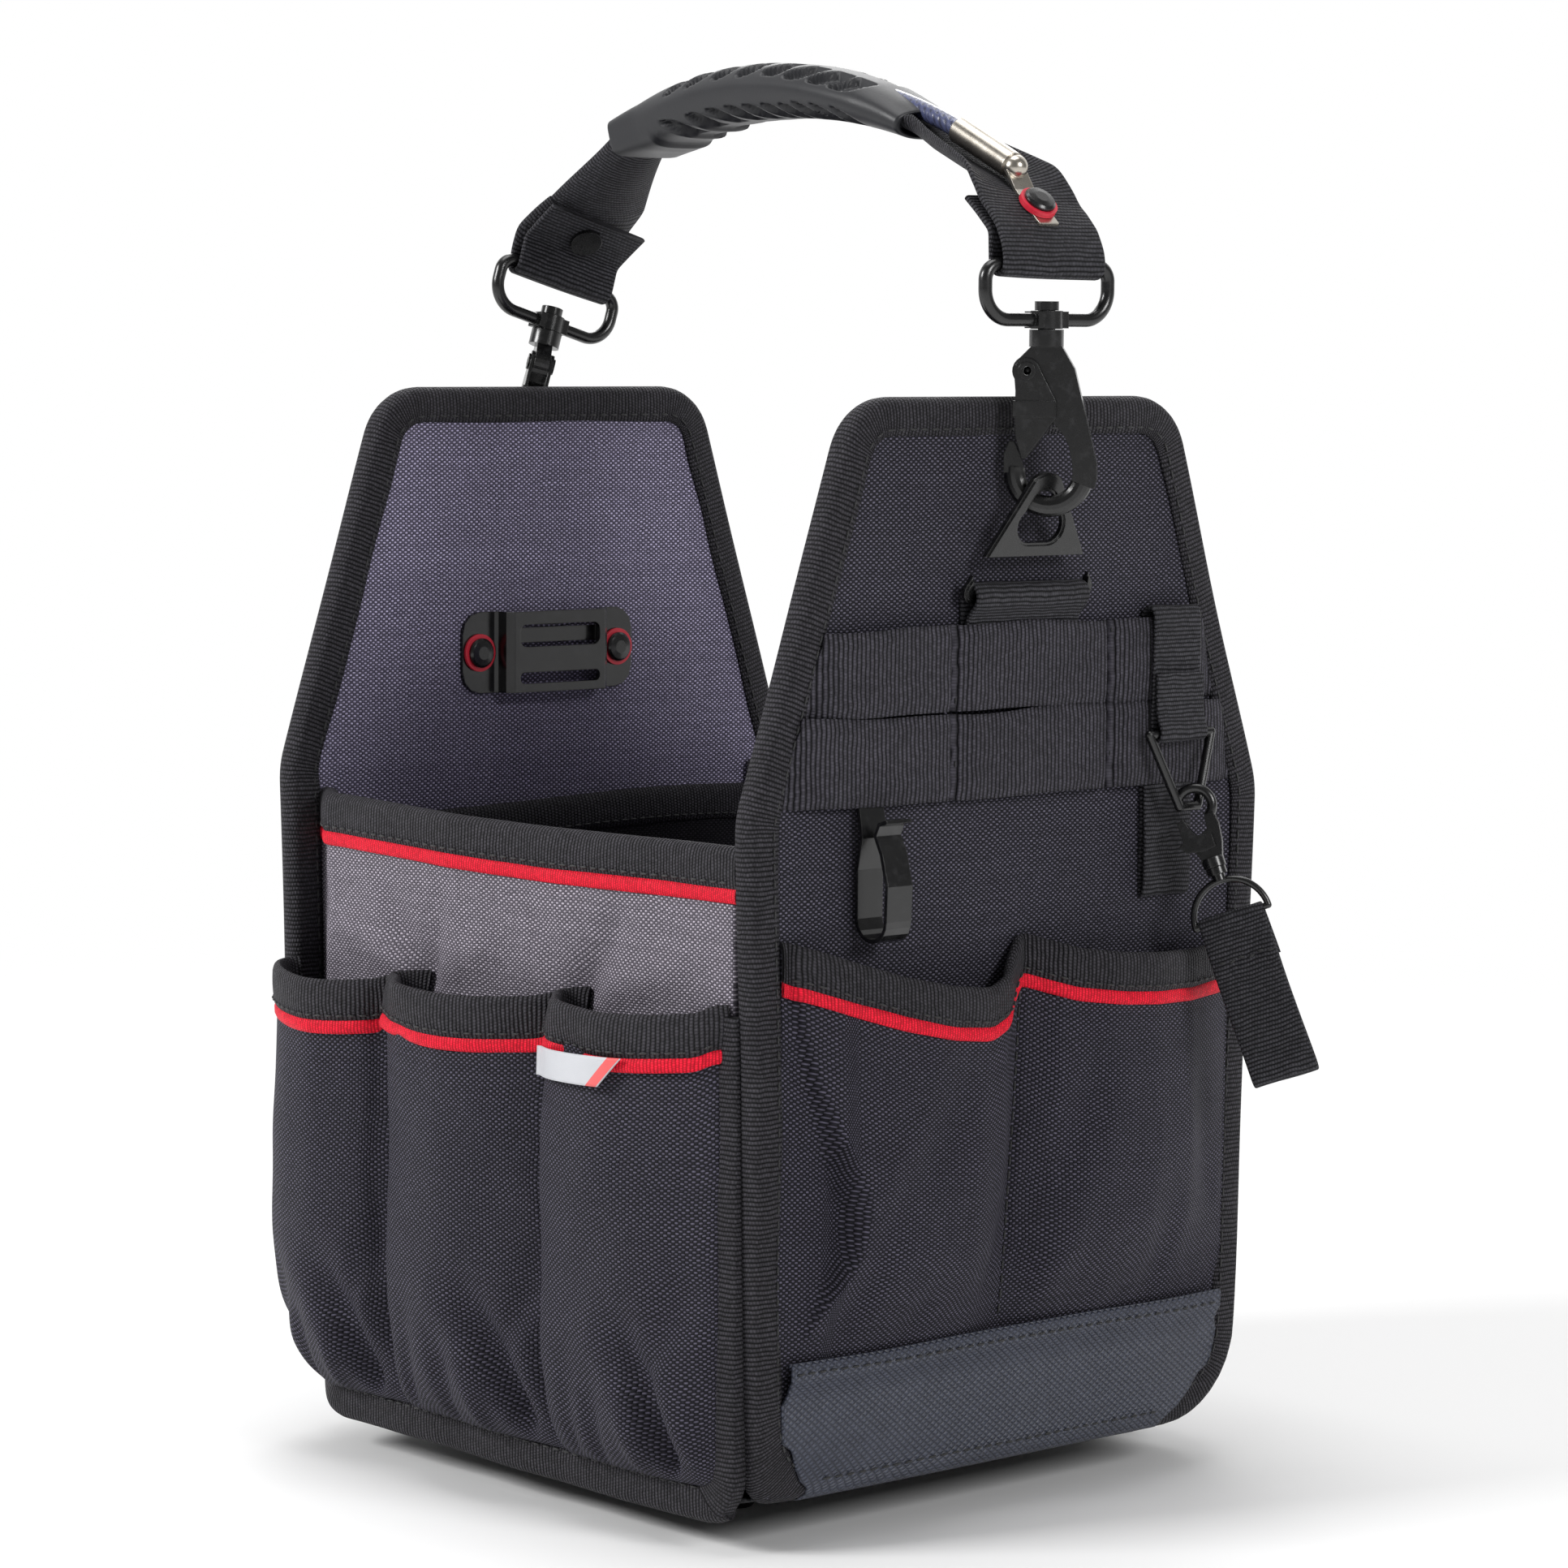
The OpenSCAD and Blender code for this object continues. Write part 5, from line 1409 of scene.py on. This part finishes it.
def handle_webbing():
    """round the near ring, folded narrow through the grip, round the far ring"""
    loop_r = wire_r + 1.15
    near = [(14.2, 19.2), (9.0, 15.0), (3.2, 9.6)] + arc((0, 0), loop_r, 10, -190)
    near += [(-2.4, 4.6), (0.6, 10.5), (5.5, 15.6), (11.5, 20.2), (20, 24.6), (30, 28.4),
             (45, 34.0)]
    near = [handle_point(d, NEAR_BAR + z) for d, z in near]
    middle = [handle_point(ARCH_CENTRE[0] + 222.6 * math.sin(a),
                           ARCH_CENTRE[1] + 222.6 * math.cos(a))
              for a in np.radians(np.linspace(-17.8, 17.8, 26))]
    far = [(-13.6, 19.8), (-7.5, 15.2), (-0.9, 9.6), (2.4, 4.6)] + arc((0, 0), loop_r, 370, 170)
    far += [(-3.2, 8.6), (-9.2, 13.4), (-15.4, 18.2)]
    far = [far_point(d, BAR_RISE + z) for d, z in far]
    path = np.array(near + middle + far)
    straight = len(near) + len(middle)
    s = lengths(path)
    across = np.array([HANDLE_ACROSS] * straight + [FAR_ACROSS] * len(far))
    across = at_lengths(np.linspace(0, s[-1], 320), s, across)
    # shares of the length where the fold begins and is complete, near and far
    near_open, near_folded, far_folded, far_open = (
        s[i] / s[-1] for i in (len(near) - 4, len(near), straight - 1, straight + 2))

    def folded(share):
        return float(between(share, near_open - 0.01, near_folded + 0.005,
                             far_folded - 0.004, far_open + 0.012))

    def curl(share):
        near_curl = between(share, near_open - 0.02, near_open + 0.03,
                            near_folded - 0.02, near_folded + 0.01)
        far_curl = between(share, far_folded, far_folded + 0.02, far_open, far_open + 0.03)
        return -5.5 * float(near_curl) - 4.5 * float(far_curl)

    strap("handle_webbing_strap", path, across, lambda share: 38.0 - 19.5 * folded(share),
          lambda share: 1.7 + 0.8 * folded(share), ["handle_webbing"], seed=4, body="handle",
          wave=0.15, columns=15, count=320, curl=curl)


# angle from the top of the arch, radius of the top and of the underside, half width,
# squareness of the section
GRIP_STATIONS = [
    (-18.4, 228.6, 219.6, 11.2, 2.3), (-17, 229.6, 219.2, 12.0, 2.3),
    (-13, 231.4, 218.2, 13.2, 2.5), (-7, 232.6, 217.0, 13.8, 2.7),
    (0, 233.4, 216.2, 14.0, 2.8), (7, 233.4, 216.4, 13.8, 2.8),
    (12, 232.6, 216.2, 13.4, 3.0), (15, 231.4, 215.6, 13.2, 3.6),
    (17, 230.6, 216.6, 13.6, 4.6), (18.4, 230.2, 217.4, 13.9, 5.0)]
# places of the slanted recesses and fins along the arch
UPPER_RECESSES = (-46, -36, -24.5, -12.5, 0, 12.5, 25, 36)
LOWER_RECESSES = (-50, -40, -31, -22, -13, -3.5, 6, 16, 27, 39)
FINS = (30, 41, 53)


def grip():
    """arched rubber moulding with a raised band on each side and slanted recesses"""
    na, ms = 210, 96
    angles = np.linspace(-18.4, 18.4, na)
    station, *columns = np.array(GRIP_STATIONS).T
    top, under, half, square = (np.interp(angles, station, column) for column in columns)
    top, under, half = (fair(row, 6)[:, None] for row in (top, under, half))
    power = 2.0 / square[:, None]
    mid_r, half_high = (top + under) / 2, (top - under) / 2
    angle, turn = np.meshgrid(angles, np.linspace(0, 2 * math.pi, ms, endpoint=False),
                              indexing="ij")
    cos, sin = np.cos(turn), np.sin(turn)
    x = half * np.sign(cos) * np.abs(cos) ** power
    y = half_high * np.sign(sin) * np.abs(sin) ** power
    level = y / half_high
    # raised smooth band along each side face
    side_face = np.sign(x) * np.clip(np.abs(x) / half, 0, 1) ** 6
    raised = np.exp(-((level - 0.05 - 0.10 * np.cos(angle / 7)) / 0.42) ** 2)
    x = x + side_face * (0.9 * raised * (1 - ease(np.abs(angle), 9, 17)))
    along = np.radians(angle) * 224.5

    def recess(place, at_level, length, width, slant, depth):
        """drop-shaped hollow on the side face"""
        rise, run = (level - at_level) * half_high, along - place
        t = math.radians(slant)
        p = run * math.cos(t) + rise * math.sin(t)
        q = -run * math.sin(t) + rise * math.cos(t)
        tapered = width * (1 - 0.35 * np.clip(p / length, -1, 1))
        return depth * (1 - ease((p / length) ** 2 + (q / tapered) ** 2, 0.55, 1.15))

    depth = 0 * x
    for place in UPPER_RECESSES:
        depth = np.maximum(depth, recess(place, 0.80, 6.6 if abs(place) > 20 else 5.4, 2.3,
                                         -18 if place < 0 else -24, 3.0))
    for place in LOWER_RECESSES:
        depth = np.maximum(depth, recess(place, -0.80, 5.2 if abs(place) < 30 else 7.4, 1.9,
                                         24, 2.8))
    depth = depth * (np.abs(x) > half * 0.30)
    nx, ny = cos / half, sin / half_high
    norm = np.sqrt(nx ** 2 + ny ** 2)
    x = x - depth * nx / norm
    y = y - depth * ny / norm
    # stepped fins under the far end
    for place in FINS:
        step = np.exp(-np.clip((along - place) / 6.0, 0, 9)) * ease(along, place - 1.4, place)
        y = y - 1.1 * step * ease(-level, 0.3, 0.9)
    rad = np.radians(angles)[:, None]
    radial = HANDLE_DIR * np.sin(rad) + UP * np.cos(rad)
    tangent = HANDLE_DIR * np.cos(rad) - UP * np.sin(rad)
    centre = handle_point(*ARCH_CENTRE)
    rings = (centre + (mid_r + y)[..., None] * radial[:, None]
             + x[..., None] * HANDLE_ACROSS)

    def end_rings(i, sign):
        """rim rings, then a hollow 4 deep, and its middle"""
        middle, out = centre + radial[i] * mid_r[i, 0], tangent[i] * sign
        shapes = ((0.93, 0.5), (0.80, 0.3), (0.76, -4.0))
        return ([middle + (rings[i] - middle) * scale + out * shift for scale, shift in shapes],
                middle - out * 4.0)

    near_rings, near_middle = end_rings(0, -1)
    far_rings, far_middle = end_rings(na - 1, 1)
    all_rings = near_rings[::-1] + list(rings) + far_rings
    verts = np.vstack(all_rings + [near_middle[None], far_middle[None]])
    n = len(all_rings)
    u = np.r_[-6, -3, -1, np.radians(angles) * 224 + 90, 160, 163, 166]
    faces, uvs = [], []
    for i in range(n - 1):
        for j in range(ms):
            j2 = (j + 1) % ms
            faces.append((i * ms + j, i * ms + j2, (i + 1) * ms + j2, (i + 1) * ms + j))
            uvs += [(u[i], j), (u[i], j + 1), (u[i + 1], j + 1), (u[i + 1], j)]
    for j in range(ms):
        j2 = (j + 1) % ms
        faces += [(n * ms, j2, j), (n * ms + 1, (n - 1) * ms + j, (n - 1) * ms + j2)]
        uvs += [(0, 0)] * 6
    make("grip_moulding", face_outward(verts, faces, np.array(uvs, float)), GRIP_RUBBER,
         ["grip"], body="handle")


handle_webbing()
grip()


# ------------------------------------------------------------------ side tag
def side_tag():
    """cloth tag lying on the left wall's near sleeve"""
    grid = sleeve(2, -1)
    row = int(np.argmin(np.abs(grid[grid.shape[0] // 2, :, 2] - 137.0)))
    line = grid[:, row]
    out = normals_facing(grid, (-1, 0, 0))[0][:, row]
    start = int(np.argmin(np.abs((line[:, 0] - line[:, 0].min()) - 6.5)
                          + 100 * (line[:, 1] < -50)))
    line = line[start:] + out[start:] * 3.0
    first = line[0] - unit(line[1] - line[0]) * 2.2 + np.array([-0.6, 0, 0])
    line = np.vstack([first[None], line])
    s = lengths(line)
    foot = node_box("label_tag")[0][2] + 0.2
    nu, nv, height = 60, 12, 8.6
    tag, uv = np.zeros((nu, nv, 3)), np.zeros((nu, nv, 2))
    for j in range(nv):
        v = height * j / (nv - 1)
        u = np.linspace(0, 37.0 + 0.95 * v, nu)   # the end is cut on the slant
        points = at_lengths(u, s, line)
        points[:, 2] = foot + v + 0.02 * u - 0.5 * np.exp(-u / 6.0) * (1 if j < 6 else 1.3)
        points[:, 0] -= 0.5 * np.sin(u / 9.0) ** 2 + 0.3 * (1 - j / nv)
        tag[:, j] = points
        uv[:, j] = np.stack([u, np.full(nu, v)], 1)
    make("side_tag", slab(tag, 0.45, (-1, 0, 0), uv), TAG, ["label_tag"])


side_tag()

# ------------------------------------------------------------------ finishes on the CAD's pieces
FINISHES = {"black_metal": METAL, "nickel": NICKEL, "red_washer": RED_PLASTIC,
            "foot_rubber": FOOT_RUBBER, "steel_screw": SCREW, "cable_sleeve": CABLE,
            "board": BOARD, "rubber_grip": GRIP_RUBBER}
slots = {part["node"]: part["material_slot"] for part in frame["record"]["subparts"]}
for node, obj in frame["nodes"].items():
    finish = FINISHES.get(slots[node])
    if finish is None or obj.hide_render:
        continue
    if node in ("tool_bracket", "hanging_clip"):
        finish = GLOSS_METAL
    obj.data.materials.clear()
    obj.data.materials.append(finish)


# ------------------------------------------------------------------ rivet cores
# place along the rivet's axis, radius
RIVET_PROFILE = [(-0.9, 0.01), (-0.9, 0.9), (-0.5, 1.25), (0.5, 1.25), (0.9, 0.9), (0.9, 0.01)]


def rivet_core(side):
    """closed core inside a gate's hollow rivet"""
    m = 28
    centre = joint_pos(side + "_gate_open")
    axis = unit(joint_axis(side + "_gate_open"))
    first = unit(np.cross(axis, [0.3, 0.2, 1.0]))
    second = np.cross(axis, first)
    turns = [2 * math.pi * j / m for j in range(m)]
    verts = [centre + axis * place + (first * math.cos(a) + second * math.sin(a)) * radius
             for place, radius in RIVET_PROFILE for a in turns]
    faces, uvs = [], []
    for i in range(len(RIVET_PROFILE) - 1):
        for j in range(m):
            j2 = (j + 1) % m
            faces.append((i * m + j, i * m + j2, (i + 1) * m + j2, (i + 1) * m + j))
            uvs += [(j, i), (j + 1, i), (j + 1, i + 1), (j, i + 1)]
    make(side + "_rivet_core", (np.array(verts), faces, uvs), GLOSS_METAL,
         body=side + "_snap")


for side in END_SIGN:
    rivet_core(side)

# ------------------------------------------------------------------ backdrop, light, camera
VIEW_YAW, VIEW_PITCH, VIEW_ROLL = (math.radians(a) for a in (41.85, 5.23, 0.41))
CAMERA_POS = (-1.00815, -1.13614, 0.3456)
CAMERA_LENS = 113.552795
# name, place, point aimed at, size, power in watts
LIGHTS = [("key", (-1.9, 0.75, 1.35), (0, 0, 0.2), 0.8, 44),
          ("front", (0.1, -2.2, 1.25), (0, 0, 0.2), 0.8, 27),
          ("top", (0.0, 0.1, 2.1), (0, 0, 0.2), 1.2, 16),
          ("back", (1.6, 1.5, 1.5), (0, 0, 0.25), 1.2, 12)]


def backdrop_paper():
    """white paper; far from the bag it glows so that it is pure white"""
    g = Shader("backdrop_paper")
    cloud = g.noise(g.geometry(), scale=3.0, detail=2.0)
    material = g.done(g.mix(cloud, (0.86, 0.86, 0.86), (0.90, 0.90, 0.90)), 0.9, spec=0.1)
    distance = g.fed("VectorMath", {0: g.geometry()}, "Value", operation="LENGTH")
    far = g.fed("MapRange", {"From Min": 0.30, "From Max": 1.3, "Value": distance},
                interpolation_type="SMOOTHSTEP")
    glow = g.fed("Emission", {0: (1.0, 1.0, 1.0), 1: 1.0})
    paper = Value(g.tree, g.principled.outputs[0])
    feed(g.output.inputs["Surface"], g.fed("MixShader", {0: far, 1: paper, 2: glow}))
    return material


def backdrop():
    """floor that curves up into a wall behind the bag, square to the view"""
    radius, start = 2.2, 1.6
    profile = [(-6, 0)]
    profile += [(start + radius * math.sin(a), radius - radius * math.cos(a))
                for a in np.radians(np.linspace(0, 90, 24))]
    profile += [(start + radius, 9)]
    away_x, away_y = math.sin(VIEW_YAW), math.cos(VIEW_YAW)
    verts = [(away_x * t + away_y * aside, away_y * t - away_x * aside, z - 0.0003)
             for t, z in profile for aside in (-7, 7)]
    faces = [(2 * i, 2 * i + 1, 2 * i + 3, 2 * i + 2) for i in range(len(profile) - 1)]
    mesh = bpy.data.meshes.new("backdrop")
    mesh.from_pydata(verts, [], faces)
    mesh.polygons.foreach_set("use_smooth", [True] * len(mesh.polygons))
    obj = bpy.data.objects.new("backdrop", mesh)
    bpy.context.scene.collection.objects.link(obj)
    mesh.materials.append(backdrop_paper())


def area_light(name, place, target, size, power):
    light = bpy.data.lights.new(name, "AREA")
    light.energy = power
    light.size = size
    obj = bpy.data.objects.new(name, light)
    bpy.context.scene.collection.objects.link(obj)
    obj.location = place
    obj.rotation_mode = "QUATERNION"
    obj.rotation_quaternion = (Vector(target) - Vector(place)).to_track_quat("-Z", "Y")


def add_camera():
    camera = bpy.data.cameras.new("camera")
    camera.sensor_width = 36.0
    camera.lens = CAMERA_LENS
    camera.clip_start = 0.05
    camera.clip_end = 60
    obj = bpy.data.objects.new("camera", camera)
    bpy.context.scene.collection.objects.link(obj)
    view = np.array([math.sin(VIEW_YAW) * math.cos(VIEW_PITCH),
                     math.cos(VIEW_YAW) * math.cos(VIEW_PITCH), -math.sin(VIEW_PITCH)])
    level = np.array([math.cos(VIEW_YAW), -math.sin(VIEW_YAW), 0])
    upright = np.cross(level, view)
    right = math.cos(VIEW_ROLL) * level + math.sin(VIEW_ROLL) * upright
    up = -math.sin(VIEW_ROLL) * level + math.cos(VIEW_ROLL) * upright
    rows = [list(row) for row in zip(right, up, -view, CAMERA_POS)]
    obj.matrix_world = Matrix(rows + [[0, 0, 0, 1]])
    bpy.context.scene.camera = obj


backdrop()
world = bpy.data.worlds.new("studio")
bpy.context.scene.world = world
world.use_nodes = True
background = world.node_tree.nodes["Background"]
background.inputs["Color"].default_value = (1, 1, 1, 1)
background.inputs["Strength"].default_value = 0.20
for light in LIGHTS:
    area_light(*light)
add_camera()
bpy.context.scene.view_settings.view_transform = "Standard"
bpy.context.scene.view_settings.look = "None"
